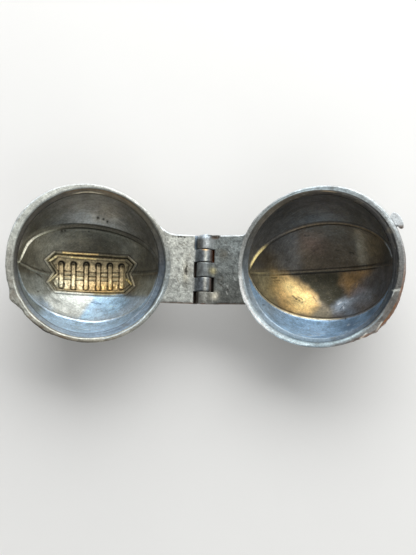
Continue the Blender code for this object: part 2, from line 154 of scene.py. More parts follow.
# Pits of the leaves' faces: u, v, size, depth
LEAF_PITS = {
    LACED: ((20.0, 14.9, 0.55, 0.3), (11.7, 12.7, 0.45, 0.28), (10.6, 12.8, 0.4, 0.3),
            (9.0, 12.6, 0.45, 0.3), (9.2, 7.6, 0.4, 0.2), (7.55, -0.2, 0.3, 0.4),
            (7.95, -1.2, 0.35, 0.45), (7.9, -2.4, 0.42, 0.45), (7.5, -3.7, 0.3, 0.3),
            (14.8, -7.2, 0.5, -0.12), (11.5, -10.8, 0.4, 0.12)),
    PLAIN: ((4.6, 13.3, 0.9, 0.5), (6.0, 13.3, 0.6, 0.35), (7.7, -8.0, 0.4, 0.22),
            (10.9, -10.2, 0.5, 0.2), (7.8, -6.7, 0.4, 0.2), (8.6, -7.4, 0.3, 0.2),
            (10.3, -8.9, 0.4, -0.12), (15.2, 4.5, 0.5, 0.12)),
}

# Thumb lug, as (out from the rim, along the rim)
LUG_ANGLE = math.radians(31)
LUG_THICKNESS = 3.4
LUG_ROOT = 2.3
LUG_ROUNDING = 0.55
LUG_HEAD = ((0.55, -2.4), (1.0, -3.6), (2.1, -4.0), (3.2, -2.2), (3.4, 0.6), (2.4, 2.8), (1.2, 3.1))

# Scratches in the cavities: red, green, blue, amount, start and end in plan, half width
SCRATCHES = {
    LACED: (
        (120, 146, 176, 0.7, -1.3, -15.3, -5.8, -16.1, 0.28),
        (130, 156, 186, 0.6, -2.4, -14.8, -4.6, -15.1, 0.22),
        (196, 200, 190, 0.6, 5.5, -16.8, 3.0, -18.4, 0.22),
        (206, 228, 244, 0.6, -9.0, -17.8, -12.5, -17.0, 0.25),
        (170, 174, 166, 0.6, 16.5, -13.6, 13.0, -16.0, 0.3),
        (60, 58, 48, 0.6, 21.5, -1.5, 19.8, -3.0, 0.3), (66, 64, 54, 0.6, 24.0, -4.0, 22.0, -5.5, 0.3),
        (150, 148, 132, 0.6, 23.5, 2.5, 21.0, 1.2, 0.35),
        (146, 144, 128, 0.5, 25.5, -0.5, 22.5, -2.0, 0.3),
        (176, 180, 172, 0.6, 19.0, -9.5, 17.6, -11.0, 0.3),
    ),
    PLAIN: (
        (90, 80, 58, 0.6, -24.2, -3.2, -22.2, -2.6, 0.3), (90, 80, 58, 0.6, -23.4, -4.6, -21.0, -4.1, 0.25),
        (96, 82, 58, 0.6, -16.0, -10.4, -13.6, -11.9, 0.4),
        (96, 82, 58, 0.6, -13.2, -11.0, -11.0, -12.6, 0.35),
        (120, 102, 70, 0.5, -14.6, -12.8, -12.8, -13.9, 0.25),
        (84, 76, 56, 0.5, -6.8, -10.6, -5.2, -12.8, 0.3),
        (190, 176, 140, 0.5, -5.0, -12.4, -3.6, -14.0, 0.25),
        (240, 246, 252, 0.8, 4.4, -14.2, 6.0, -13.4, 0.35),
        (236, 244, 252, 0.8, 6.6, -15.2, 7.4, -16.4, 0.35),
        (214, 224, 236, 0.7, 8.0, -13.6, 9.6, -12.8, 0.3), (84, 92, 102, 0.7, 5.6, -16.8, 7.8, -14.4, 0.25),
        (196, 204, 214, 0.6, 10.2, -12.0, 11.6, -11.0, 0.25),
        (196, 160, 112, 0.5, 12.6, -6.4, 13.6, -4.6, 0.25), (150, 116, 74, 0.5, 9.4, -3.8, 10.2, -2.4, 0.3),
        (156, 158, 162, 0.5, 16.4, -10.4, 18.0, -9.0, 0.25), (52, 48, 40, 0.5, 3.2, 10.8, 4.6, 9.8, 0.35),
        (48, 45, 37, 0.6, 9.8, 8.8, 11.4, 8.4, 0.4), (52, 48, 42, 0.5, -9.5, 16.5, -7.8, 17.2, 0.3),
    ),
}
SCRATCH_STRENGTH = 1.4
SCRATCH_WIDTH = 1.7
# Pits in the cavities: place in plan, size
CAVITY_PITS = {
    LACED: ((-2.6, 23.1, 0.6), (-7.0, 21.6, 0.55), (-5.2, 22.6, 0.45), (13.6, 16.6, 0.6),
            (12.2, 16.9, 0.45), (1.5, 17.5, 0.3), (22.5, -12.0, 0.4)),
    PLAIN: ((-12.5, -12.6, 0.5), (-13.8, -12.0, 0.35), (-11.2, -13.3, 0.3), (9.0, -21.0, 0.35),
            (-25.0, -16.0, 0.3)),
}

# Colours of the lip and of the rim's band, with light and shade painted in: the lips are painted darker on
# the +v side, as shade, and lighter and bluer on the -v side, as a reflection of the window, as is the plain
# half's band: azimuth, red, green, blue
LIP_LIGHT_AND_TONES = {
    LACED: ((0, 66, 64, 58), (60, 70, 66, 57), (110, 96, 87, 70), (155, 74, 73, 65),
            (180, 58, 62, 67), (205, 98, 112, 124), (250, 108, 126, 142), (300, 99, 111, 119),
            (330, 78, 83, 84)),
    PLAIN: ((0, 28, 29, 29), (45, 25, 24, 21), (90, 42, 38, 31), (130, 72, 66, 54),
            (160, 64, 64, 60), (188, 90, 98, 102), (215, 134, 148, 157), (260, 155, 178, 194),
            (298, 98, 112, 126), (322, 56, 66, 74), (342, 42, 46, 49)),
}
BAND_LIGHT_AND_TONES = {
    LACED: ((0, 150, 150, 141), (25, 182, 186, 178), (100, 184, 186, 178), (146, 172, 172, 162),
            (165, 134, 136, 130), (200, 130, 139, 140), (250, 156, 153, 140), (290, 136, 131, 117),
            (330, 146, 146, 137)),
    PLAIN: ((0, 116, 117, 114), (40, 146, 150, 150), (100, 150, 166, 172), (150, 126, 128, 124),
            (185, 160, 163, 160), (205, 226, 230, 228), (235, 208, 228, 238), (262, 190, 216, 228),
            (285, 158, 172, 178), (312, 122, 120, 116), (335, 100, 98, 93)),
}
BACK_TONES = {LACED: (120, 118, 110), PLAIN: (112, 112, 106)}
# Lines along the rims: the light ones are painted highlights where edges and lips catch the light, the
# others darker lines: first and last azimuth, first and last radius, half width, colour, amount
RIM_HIGHLIGHTS_AND_DARK_LINES = {
    LACED: (
        (62, 132, 32.5, 32.0, 0.5, 112, 90, 60, 0.6), (74, 102, 31.1, 30.9, 0.3, 226, 216, 186, 0.8),
        (172, 230, 33.1, 32.8, 0.7, 68, 78, 86, 0.8), (184, 238, 30.7, 30.6, 0.3, 190, 206, 218, 0.6),
        (192, 262, 34.2, 33.5, 0.4, 214, 230, 236, 0.85),
        (252, 348, 33.2, 32.6, 0.35, 234, 238, 228, 0.85),
        (262, 316, 34.7, 34.7, 0.75, 60, 54, 44, 0.95), (16, 70, 35.6, 35.5, 0.6, 206, 218, 226, 0.5),
        (104, 136, 33.2, 33.3, 0.5, 255, 255, 246, 0.9),
        (306, 336, 33.9, 33.9, 0.5, 190, 194, 184, 0.7),
        (214, 262, 32.9, 32.7, 0.5, 116, 140, 160, 0.7),
    ),
    PLAIN: (
        (14, 74, 34.9, 34.7, 0.7, 214, 224, 226, 0.8), (76, 90, 31.9, 31.8, 0.25, 140, 122, 92, 0.7),
        (70, 130, 33.3, 33.2, 0.4, 156, 166, 168, 0.7), (120, 150, 30.9, 30.8, 0.4, 104, 98, 86, 0.6),
        (186, 240, 34.6, 34.3, 0.8, 255, 255, 252, 0.95),
        (204, 270, 33.9, 33.6, 0.6, 236, 252, 255, 0.95),
        (240, 308, 33.0, 32.7, 0.8, 226, 248, 255, 0.95),
        (300, 328, 33.1, 33.0, 0.5, 160, 178, 186, 0.8), (180, 252, 33.0, 32.9, 0.7, 232, 246, 252, 0.9),
        (214, 252, 30.8, 30.5, 0.35, 170, 196, 216, 0.5), (80, 116, 33.9, 33.9, 0.5, 204, 222, 230, 0.6),
        (252, 306, 34.7, 34.7, 0.8, 66, 58, 50, 0.95), (297, 306, 35.2, 34.5, 0.45, 255, 255, 244, 1.0),
        (311, 319, 36.0, 35.1, 0.45, 255, 255, 242, 1.0),
        (341.2, 343.4, 32.8, 35.0, 1.4, 226, 230, 222, 0.8),
        (337, 342, 32.8, 33.0, 0.35, 214, 220, 216, 0.7),
    ),
}


def linear(colour):
    """Linear colour from display values."""
    c = np.asarray(colour, float) / 255
    return np.where(c <= 0.04045, c / 12.92, ((c + 0.055) / 1.055) ** 2.4)


def stacked(*parts):
    """Numbers or arrays, broadcast and joined along a new last axis."""
    return np.stack(np.broadcast_arrays(*parts), -1)


def to_world(points, side):
    """World points in millimetres from points of a half's own frame."""
    u, v, w = np.moveaxis(points, -1, 0)
    x = side * (u * math.cos(SAG) - w * math.sin(SAG))
    z = u * math.sin(SAG) + w * math.cos(SAG) + HINGE_HEIGHT
    return stacked(x, v, z)


def smoothstep(value, low, high):
    t = np.clip((value - low) / (high - low), 0, 1)
    return t * t * (3 - 2 * t)


def noise(points, size, seed):
    """Smooth noise from -1 to 1 with features of about the given size."""
    cells = points / size + 100.0
    low = np.floor(cells).astype(np.int64)
    t = cells - low
    t = t * t * (3 - 2 * t)
    total = np.zeros(points.shape[:-1])
    for corner in range(8):
        pick = np.array([corner & 1, corner >> 1 & 1, corner >> 2 & 1])
        key = (low + pick) @ np.array([7919, 104729, 1299709]) + seed * 15485863
        value = np.abs(np.sin((key % 99991) * 12.9898) * 43758.5453) % 1.0
        weight = np.where(pick == 1, t, 1 - t).prod(-1)
        total += weight * value
    return total * 2 - 1


def rough(points, *layers):
    """Sum of noises, each given as amount, size and seed."""
    return sum(amount * noise(points, size, seed) for amount, size, seed in layers)


def round_curve(knots, azimuth):
    """Smooth closed curve through knots given as (degrees, value)."""
    angle, value = np.array(knots, float).T
    fine = np.arange(720) / 2.0
    coarse = np.interp(fine, angle, value, period=360)
    reach, width = 40, 12.0
    kernel = np.exp(-0.5 * (np.arange(-reach, reach + 1) / width) ** 2)
    wide = np.concatenate([coarse[-reach:], coarse, coarse[:reach]])
    even = np.convolve(wide, kernel / kernel.sum(), mode="valid")
    return np.interp(np.degrees(azimuth) % 360, fine, even, period=360)


def bump(azimuth, centre, width):
    """A hump of the given width in degrees about an azimuth."""
    away = (np.degrees(azimuth) - centre + 180) % 360 - 180
    return np.exp(-0.5 * (away / width) ** 2)


def rim_outer(side, azimuth):
    """Radius of the rim's outer edge."""
    radius = round_curve(RIM_OUTER[side], azimuth)
    for centre, width, rise in RIM_NICKS[side]:
        radius = radius + rise * bump(azimuth, centre, width)
    return radius


def leaf_zone(side, azimuth):
    """1 where a leaf is soldered to the rim, 0 elsewhere."""
    first, last = LEAF_SPAN[side]
    degrees = np.degrees(azimuth) % 360
    return smoothstep(degrees, first - 4, first) * (1 - smoothstep(degrees, last, last + 3))


def along_curve(knots, count):
    """Smooth curve through knots, an array of (count, ...)."""
    padded = np.concatenate([2 * knots[:1] - knots[1:2], knots, 2 * knots[-1:] - knots[-2:-1]])
    rows = []
    for index in range(len(knots) - 1):
        a, b, c, d = padded[index:index + 4]
        for t in np.arange(count) / count:
            rows.append(0.5 * (2 * b + (c - a) * t + (2 * a - 5 * b + 4 * c - d) * t ** 2
                               + (3 * b - a - 3 * c + d) * t ** 3))
    return np.stack(rows + [knots[-1]])


def to_polyline(points, corners, closed=True):
    """Distance of plan points from a polyline."""
    corners = np.asarray(corners, float)
    ends = np.roll(corners, -1, 0) if closed else corners[1:]
    nearest = np.full(points.shape[:-1], 1e9)
    for start, end in zip(corners, ends):
        line = end - start
        share = np.clip(((points - start) @ line) / (line @ line), 0, 1)
        away = np.linalg.norm(points - start - share[..., None] * line, axis=-1)
        nearest = np.minimum(nearest, away)
    return nearest


def inside(points, corners):
    """1 for plan points within a closed polyline."""
    corners = np.asarray(corners, float)
    odd = np.zeros(points.shape[:-1], bool)
    x, y = points[..., 0], points[..., 1]
    for (x0, y0), (x1, y1) in zip(corners, np.roll(corners, -1, 0)):
        if y0 == y1:
            continue
        crossing = (y0 > y) != (y1 > y)
        odd ^= crossing & (x < (x1 - x0) * (y - y0) / (y1 - y0) + x0)
    return odd.astype(float)


def ridge(distance, half_width):
    """Soft ridge: 1 at no distance, 0 from the half width on."""
    share = np.clip(distance / half_width, 0, 1)
    return np.where(distance < half_width, 0.5 + 0.5 * np.cos(np.pi * share), 0)


class Plan:
    """Soft masks at plan points, and rows of them as patches: colour, amount and mask."""

    def __init__(self, points):
        self.points = points
        self.a, self.b = points[..., 0], points[..., 1]

    def spot(self, x, y, width, depth, turn=0.0, power=2.0):
        """Soft oval: 1 in its middle, fading out."""
        c, s = math.cos(math.radians(turn)), math.sin(math.radians(turn))
        along = ((self.a - x) * c + (self.b - y) * s) / width
        across = ((self.b - y) * c - (self.a - x) * s) / depth
        return np.exp(-((along * along + across * across) ** (power / 2)))

    def line(self, x0, y0, x1, y1, half_width):
        """Soft stroke between two points."""
        return ridge(to_polyline(self.points, ((x0, y0), (x1, y1)), closed=False), half_width)

    def area(self, blur, *corners):
        """Soft-edged patch within the corners."""
        within = inside(self.points, corners) * 2 - 1
        return smoothstep(within * to_polyline(self.points, corners), -blur, blur)

    def spots(self, zone, *rows):
        """Patches within a zone, from rows of red, green, blue, amount and a spot's numbers."""
        return [(row[:3], row[3], zone * self.spot(*row[4:])) for row in rows]

    def lines(self, zone, *rows):
        """Patches within a zone, from rows of red, green, blue, amount and a line's numbers."""
        return [(row[:3], row[3], zone * self.line(*row[4:])) for row in rows]


def paint(colour, patches):
    """Linear colours, after laying each patch (display colour, amount, mask) over the last."""
    for tone, amount, mask in patches:
        share = (mask * amount)[..., None]
        colour = colour * (1 - share) + linear(tone) * share
    return colour


def bent(direction, turn, dip):
    """Directions turned near the outer end, where the laced half's seams meet a little lower."""
    x, y, z = np.moveaxis(direction, -1, 0)
    share = smoothstep(x, 0.9, 0.99)
    turn, dip = math.radians(turn) * share, math.radians(dip) * share
    x, y = x * np.cos(turn) - y * np.sin(turn), x * np.sin(turn) + y * np.cos(turn)
    x, z = x * np.cos(dip) - z * np.sin(dip), x * np.sin(dip) + z * np.cos(dip)
    return stacked(x, y, np.minimum(z, 0.0))


def outer_centre(along):
    """Middle of the laced half's upper seam near its outer end."""
    return -0.4 - 0.6 * smoothstep(along, 14, 28) - 2.2 * smoothstep(along, 24.5, 31)


def seam_relief(side, direction):
    """Seams at unit directions from the ball's centre: relief, dark lines beside them (painted shade
    with some grime), the zones above the upper seam and below the lower one, and each seam's distance."""
    if side == LACED:
        direction = bent(direction, 3, 4)
    tilt = math.radians(POLE_TILT[side])
    c = direction @ np.array([math.cos(tilt), math.sin(tilt), 0.0])
    across = direction @ np.array([-math.sin(tilt), math.cos(tilt), 0.0])
    sine = np.sqrt(np.clip(1 - c * c, 0, 1))
    turn = np.arctan2(across, -direction[..., 2])
    along, depth = direction[..., 0] * CAVITY, -direction[..., 2] * CAVITY
    heights, flanks, offsets = [], [], []
    for index, (first, second, third) in enumerate(SEAMS[side]):
        seam = side, index
        off = (turn - np.radians(first + second * c + third * c * c)) * sine * CAVITY
        middle, half_width, top = SEAM_BEADS[side][index]
        if seam == (LACED, 0):
            share = smoothstep(along, 2, 20)
            middle = middle + (outer_centre(along) - middle) * share
            half_width = half_width - 0.45 * share
        elif seam == (LACED, 2):
            off = off + 0.95 - 1.9 * smoothstep(-along, 1, 16)
        elif seam == (PLAIN, 0):
            half_width = half_width + 0.5 * smoothstep(-along, 24, 27)
        height = top * ridge(np.abs(off - middle), half_width)
        lines = np.max([dark * ridge(np.abs(off - place), width)
                        for place, width, dark in SEAM_SHADE_AND_GRIME_LINES[side][index]], axis=0)
        if seam == (LACED, 1):
            ends = smoothstep(np.abs(along), 17.0, 19.5)
            height, lines = height * ends, lines * ends
        elif seam == (PLAIN, 1):
            lines = lines * (1 - 0.8 * smoothstep(along, 20.5, 24.5))
            lines = lines * (1 - 0.5 * smoothstep(-along, 19, 24))
        elif seam == (PLAIN, 2):
            height = height * (1 - 0.8 * smoothstep(along, 20, 25))
        heights.append(height)
        flanks.append(lines)
        offsets.append(off)
    upper_edge, lower_edge = ZONE_EDGES[side]
    above, below = smoothstep(offsets[0], *upper_edge), 1 - smoothstep(offsets[2], *lower_edge)
    fade = smoothstep(depth, 0.7, 2.6)
    return np.max(heights, axis=0) * fade, np.max(flanks, axis=0) * fade, above, below, offsets


def seam_highlights_and_shade(side, a, offsets):
    """Painted highlights and painted shade lines that follow the seams, as patches."""
    upper, middle, lower = offsets
    if side == LACED:
        far = smoothstep(-a, -16, -11) * (1 - smoothstep(-a, 19, 25))
        rows = (
            (upper, -1.5, 0.6, (116, 112, 98), 0.7, far), (upper, -0.25, 0.9, (52, 50, 43), 0.75, far),
            (upper, 1.0, 0.45, (92, 88, 78), 0.7, far), (upper, 1.8, 0.55, (58, 56, 49), 0.7, far),
            (upper, outer_centre(a), 0.85, (255, 255, 226), 1.0, smoothstep(a, 13, 22)),
            (middle, 0.6, 0.8, (74, 71, 60), 0.5, 1),
            (middle, -0.4, 0.5, (134, 132, 114), 0.6, smoothstep(a, 15, 20)),
            (middle, -0.9, 0.45, (110, 102, 84), 0.6, smoothstep(-a, 16, 20)),
            (lower, 0.0, 0.75, (232, 238, 236), 0.8, 1 - 0.7 * smoothstep(np.abs(a), 15, 22)),
            (lower, 1.4, 0.5, (150, 160, 166), 0.4, 1),
        )
    else:
        rows = (
            (upper, 0.2, 0.5, (150, 130, 100), 0.7, smoothstep(a, -22, -16)),
            (upper, 0.2, 0.9, (196, 208, 216), 1.0, smoothstep(a, 26.3, 28.3)),
            (middle, -0.3, 0.45, (116, 106, 86), 0.6, 1 - smoothstep(a, 19, 23)),
            (lower, -0.45, 0.75, (214, 202, 170), 0.85, smoothstep(-a, -10, -4)),
            (lower, -0.45, 0.7, (240, 226, 184), 0.6, np.exp(-((a + 14) / 6) ** 2)),
            (lower, -0.45, 0.7, (124, 124, 122), 0.7, smoothstep(a, 6, 11) * (1 - smoothstep(a, 18, 23))),
            (lower, 1.0, 0.6, (72, 70, 60), 0.5, 1),
        )
    return [(tone, amount, ridge(np.abs(off - place), half_width) * window)
            for off, place, half_width, tone, amount, window in rows]


def lacing_relief(plan, places):
    """Relief of the lacing panel at plan points, its grime with painted shade, its rubbed brightness with
    painted highlights, and where it is.
    """
    a, b = plan[..., 0], plan[..., 1]
    outer, inner = to_polyline(plan, BORDER_OUTER), to_polyline(plan, BORDER_INNER)
    outer_ridge, inner_ridge = ridge(outer, 0.8), ridge(inner, 0.7)
    field = inside(plan, BORDER_INNER)
    band = inside(plan, BORDER_OUTER) * (1 - field)
    channel = band * smoothstep(np.minimum(outer, inner), 0.25, 0.8)
    flanks = np.maximum(ridge(np.abs(outer - 0.8), 0.35), ridge(np.abs(inner - 0.75), 0.35))
    lace = np.min([to_polyline(plan, ends, closed=False) for ends in zip(LACE_TOPS, LACE_FEET)], axis=0)
    eyelet = np.min([np.linalg.norm(plan - end, axis=-1) for end in LACE_TOPS + LACE_FEET], axis=0)
    groove = smoothstep(LACE_HALF_WIDTH - lace, 0.0, 0.75)
    wall = ridge(np.abs(lace - LACE_HALF_WIDTH + 0.3), 0.6)
    between = (np.abs(a) < 14.5) * (1 - groove)
    ribs = sum(ridge(np.abs(b - rib), 0.8) for rib in RIBS) * between
    slits = sum(ridge(np.abs(b - slit), 0.45) for slit in SLITS) * between
    ground = rough(places, (0.13, 1.4, 5), (0.1, 0.7, 6)) * field * (1 - 0.5 * groove)
    relief = (0.55 * outer_ridge + 0.42 * inner_ridge - 0.22 * channel - LACE_DEPTH * groove
              + 0.3 * ribs - 0.18 * slits + ground - 0.25 * ridge(eyelet, 1.0))
    # Towards +v the lacing gets more painted shade
    shaded = smoothstep(b, -6.0, 3.0)
    hook = ridge(np.abs(eyelet - 1.5), 0.6) * field * (1 - groove)
    # Grime with painted shade in the channel, along the ridges' flanks, on the lace walls, in the slits,
    # round the eyelets and at the lace tops
    dirt_and_shade = np.clip(0.3 * channel + 0.75 * flanks + (0.6 + 0.4 * shaded) * wall + 0.8 * slits
                   + 0.6 * hook + 0.95 * ridge(eyelet, 1.3) * shaded, 0, 1)
    # Lighter ridges, ribs and lace cores, the cores brighter lower down: painted highlights, with some
    # rubbing
    core = ridge(lace, 0.8) * smoothstep(-b, -1.0, 5.0)
    polish_and_highlight = np.clip(outer_ridge * 0.8 + inner_ridge * 0.9 + ribs * 0.6 + core * 1.6, 0, 1.8)
    return relief, dirt_and_shade, polish_and_highlight, np.maximum(field, band)


def grid_faces(rows, columns, wrap=True, wrap_rows=False):
    """Faces between the rows of a grid of points."""
    r = np.arange(rows if wrap_rows else rows - 1)[:, None]
    c = np.arange(columns if wrap else columns - 1)[None, :]
    down, beside = (r + 1) % rows, (c + 1) % columns
    quads = stacked(r * columns + c, r * columns + beside, down * columns + beside, down * columns + c)
    return quads.reshape(-1, 4)


def closed_faces(rows, columns):
    """Faces of a tube of rings and of its two ends."""
    end = np.arange(columns)
    return [*grid_faces(rows, columns), end[::-1], (rows - 1) * columns + end]


def make_mesh(name, points, faces, material, masks, flip=False):
    """Mesh object from world points in millimetres, with its masks as attributes."""
    order = -1 if flip else 1
    mesh = bpy.data.meshes.new(name)
    mesh.from_pydata((points * MM).tolist(), [], [[int(i) for i in face[::order]] for face in faces])
    mesh.materials.append(material)
    for label, values in masks.items():
        values = np.asarray(values, float)
        layers, kind, key = mesh.attributes, "FLOAT", "value"
        if label == "track":
            kind, key = "FLOAT_VECTOR", "vector"
        elif values.ndim == 2:
            layers, kind, key = mesh.color_attributes, "FLOAT_COLOR", "color"
            values = np.concatenate([values, np.ones((len(values), 1))], 1)
        layers.new(label, kind, "POINT").data.foreach_set(key, values.ravel())
    mesh.shade_smooth()
    mesh.update()
    item = bpy.data.objects.new(name, mesh)
    bpy.context.scene.collection.objects.link(item)
    return item


def steps(count):
    """Shares from just above 0 to 1."""
    return np.linspace(0, 1, count + 1)[1:]


def bowl_profile(side, azimuth):
    """Rings (radius, w) of a bowl at each azimuth, without the cavity's own rings, the part that
    each ring is in (lip 0, band 1, corner 2, wall 3, underside 4, back 5), and the step's radius."""
    step, edge = round_curve(RIM_STEP[side], azimuth), rim_outer(side, azimuth)
    # The tongue is low enough and far enough in for the laced half's recess
    laced_step = round_curve(RIM_STEP[LACED], azimuth)
    lip = step if side == LACED else np.minimum(step, laced_step + 0.05)

    def ring(radius, w):
        return np.stack(np.broadcast_arrays(radius, w, azimuth)[:2])

    fixed, following = LIP_RINGS[side]
    knots = [ring(r, w) for r, w in fixed] + [ring(lip + r, w) for r, w in following]
    inner = list(along_curve(np.stack(knots), 4))
    solder = leaf_zone(side, azimuth)
    rounding = RIM_ROUNDING * (1 - solder) + SOLDERED_ROUNDING * solder
    start = inner[-1][0]
    flat = [ring(start + (edge - rounding - start) * t, 0.0) for t in steps(7)]
    corner = [ring(edge - rounding + rounding * math.sin(angle), -rounding * (1 - math.cos(angle)))
              for angle in np.radians(90 * steps(8))]
    low_edge, low_w = edge - UNDER_ROUNDING, -RIM_HEIGHT + UNDER_ROUNDING
    wall = [ring(edge, -rounding + (rounding + low_w) * t) for t in steps(8)]
    under = [ring(low_edge + UNDER_ROUNDING * math.cos(angle), low_w - UNDER_ROUNDING * math.sin(angle))
             for angle in np.radians(90 * steps(4))]
    last = math.acos((RIM_HEIGHT + NECK_DROP) / SHELL)
    neck = math.sin(last) * SHELL
    under += [ring(low_edge * (1 - t) + neck * t, -RIM_HEIGHT - NECK_DROP * t ** 1.8)
              for t in steps(5)[:-1]]
    back = [ring(SHELL * math.sin(angle), -SHELL * math.cos(angle))
            for angle in np.linspace(last, math.radians(0.4), 64)]
    parts = inner, flat, corner, wall, under, back
    part = np.concatenate([np.full(len(rows), index) for index, rows in enumerate(parts)])
    return np.stack(sum(parts, [])), part, step


def laced_patina_and_light(plan, above, below):
    """Colours of the laced cavity, with light and shade painted in: olive and grey above, golden at the
    lacing as a painted warm reflection with painted highlights along its border, and a pale and blue painted
    reflection of the window below.
    """
    a, b = plan.a, plan.b
    border = plan.area(0.9, *BORDER_OUTER)
    return paint(linear((91, 88, 75)), [
        *plan.spots(1, (170, 166, 148, 0.9, 20, 8, 8, 10), (132, 130, 119, 0.9, -20, 9, 7, 9),
                    (106, 106, 101, 0.8, -29, 6, 3.5, 10), (72, 69, 60, 0.6, -4, 14, 3.5, 4)),
        ((166, 162, 154), 0.95, above),
        *plan.spots(above, (174, 160, 140, 0.7, -6, 24, 7, 3.5), (112, 104, 88, 0.6, 6, 18, 6, 2.5),
                    (104, 98, 88, 0.6, -13, 17, 6, 2.5, 15), (150, 146, 138, 0.6, 2, 27, 9, 2),
                    (102, 102, 95, 0.9, 18, 20, 9, 7, -30), (72, 70, 58, 0.9, 25, 12, 5, 8, 20),
                    (120, 119, 114, 0.8, -18, 20, 10, 6, 30), (76, 76, 71, 0.8, -26, 11, 5, 8, -20)),
        ((154, 157, 148), 0.9, smoothstep(-b, 2.5, 7.0) * smoothstep(np.abs(a), 19.0, 23.0)),
        *plan.spots(1, (134, 124, 98, 0.7, -21, -6, 4, 4)),
        # From here to the zone below the lower seam: pale and blue patches that are a painted reflection of
        # the window
        ((176, 194, 210), 0.95, smoothstep(-b - 0.02 * np.abs(a), 11.6, 13.6)),
        ((228, 232, 224), 0.95, plan.area(1.8, (18, -11.5), (0, -12), (-2.5, -14), (0, -17.5),
                                          (4, -23.5), (13, -22), (20, -14))),
        ((184, 222, 250), 0.95, plan.area(1.6, (0, -12), (-15, -11.5), (-18, -15), (-12, -21),
                                          (4, -24), (0, -17.5), (-2.5, -14))),
        *plan.spots(1, (206, 228, 246, 0.6, -4, -20, 5, 3.5), (166, 186, 206, 0.6, -17, -16, 4, 4),
                    (168, 172, 164, 0.8, 22, -12, 4, 4)),
        ((172, 199, 222), 0.95, below),
        ((127, 135, 133), 0.95,
         below * plan.area(3.0, (33, 2), (17, 2), (15, -19), (27, -27), (34, -10))),
        *plan.spots(below, (132, 150, 178, 0.8, -30, -8, 4, 7), (140, 160, 178, 0.7, -21, -21, 6, 4, 45)),
        # The lacing's gold: a painted warm reflection, brightest in the spots below
        ((158, 144, 112), 0.95, border),
        ((214, 192, 148), 0.95, plan.area(0.8, *BORDER_INNER)),
        *plan.spots(1, (252, 238, 196, 0.8, 8, -5.5, 5, 3), (226, 226, 200, 0.8, 14.5, -7.5, 3, 3),
                    (238, 196, 122, 0.8, -7, -8.5, 8, 3), (146, 134, 106, 0.8, 0, 3.9, 18, 1.9, 0, 4)),
        ((102, 98, 80), 0.8, border * smoothstep(np.abs(a), 14.9, 16.6)),
        # Painted highlights along the lacing's border, and pale streaks low in the cavity
        *plan.lines(1, (252, 238, 182, 0.95, 19.2, 3.0, 16.3, 5.5, 1.0),
                    (240, 226, 180, 0.85, 18.4, -6.6, 16.3, -3.5, 0.9),
                    (250, 226, 150, 0.9, -16.8, -4.3, -19.2, -6.6, 0.8),
                    (252, 214, 146, 0.9, 13, 7.3, -3, 7.4, 0.7),
                    (255, 222, 152, 0.8, 9.3, 5.5, -2.2, 5.2, 0.6),
                    (244, 240, 222, 0.85, 15.2, -11.2, -2, -11.5, 0.8),
                    (200, 186, 142, 0.7, -2, -11.5, -12, -11.5, 0.7),
                    (226, 238, 246, 0.6, -8, -28.3, -4, -29.2, 0.3),
                    (226, 238, 246, 0.6, -2, -28.6, 4, -28.8, 0.3),
                    (226, 238, 246, 0.5, 3, -27.6, 7, -27.4, 0.3)),
    ])


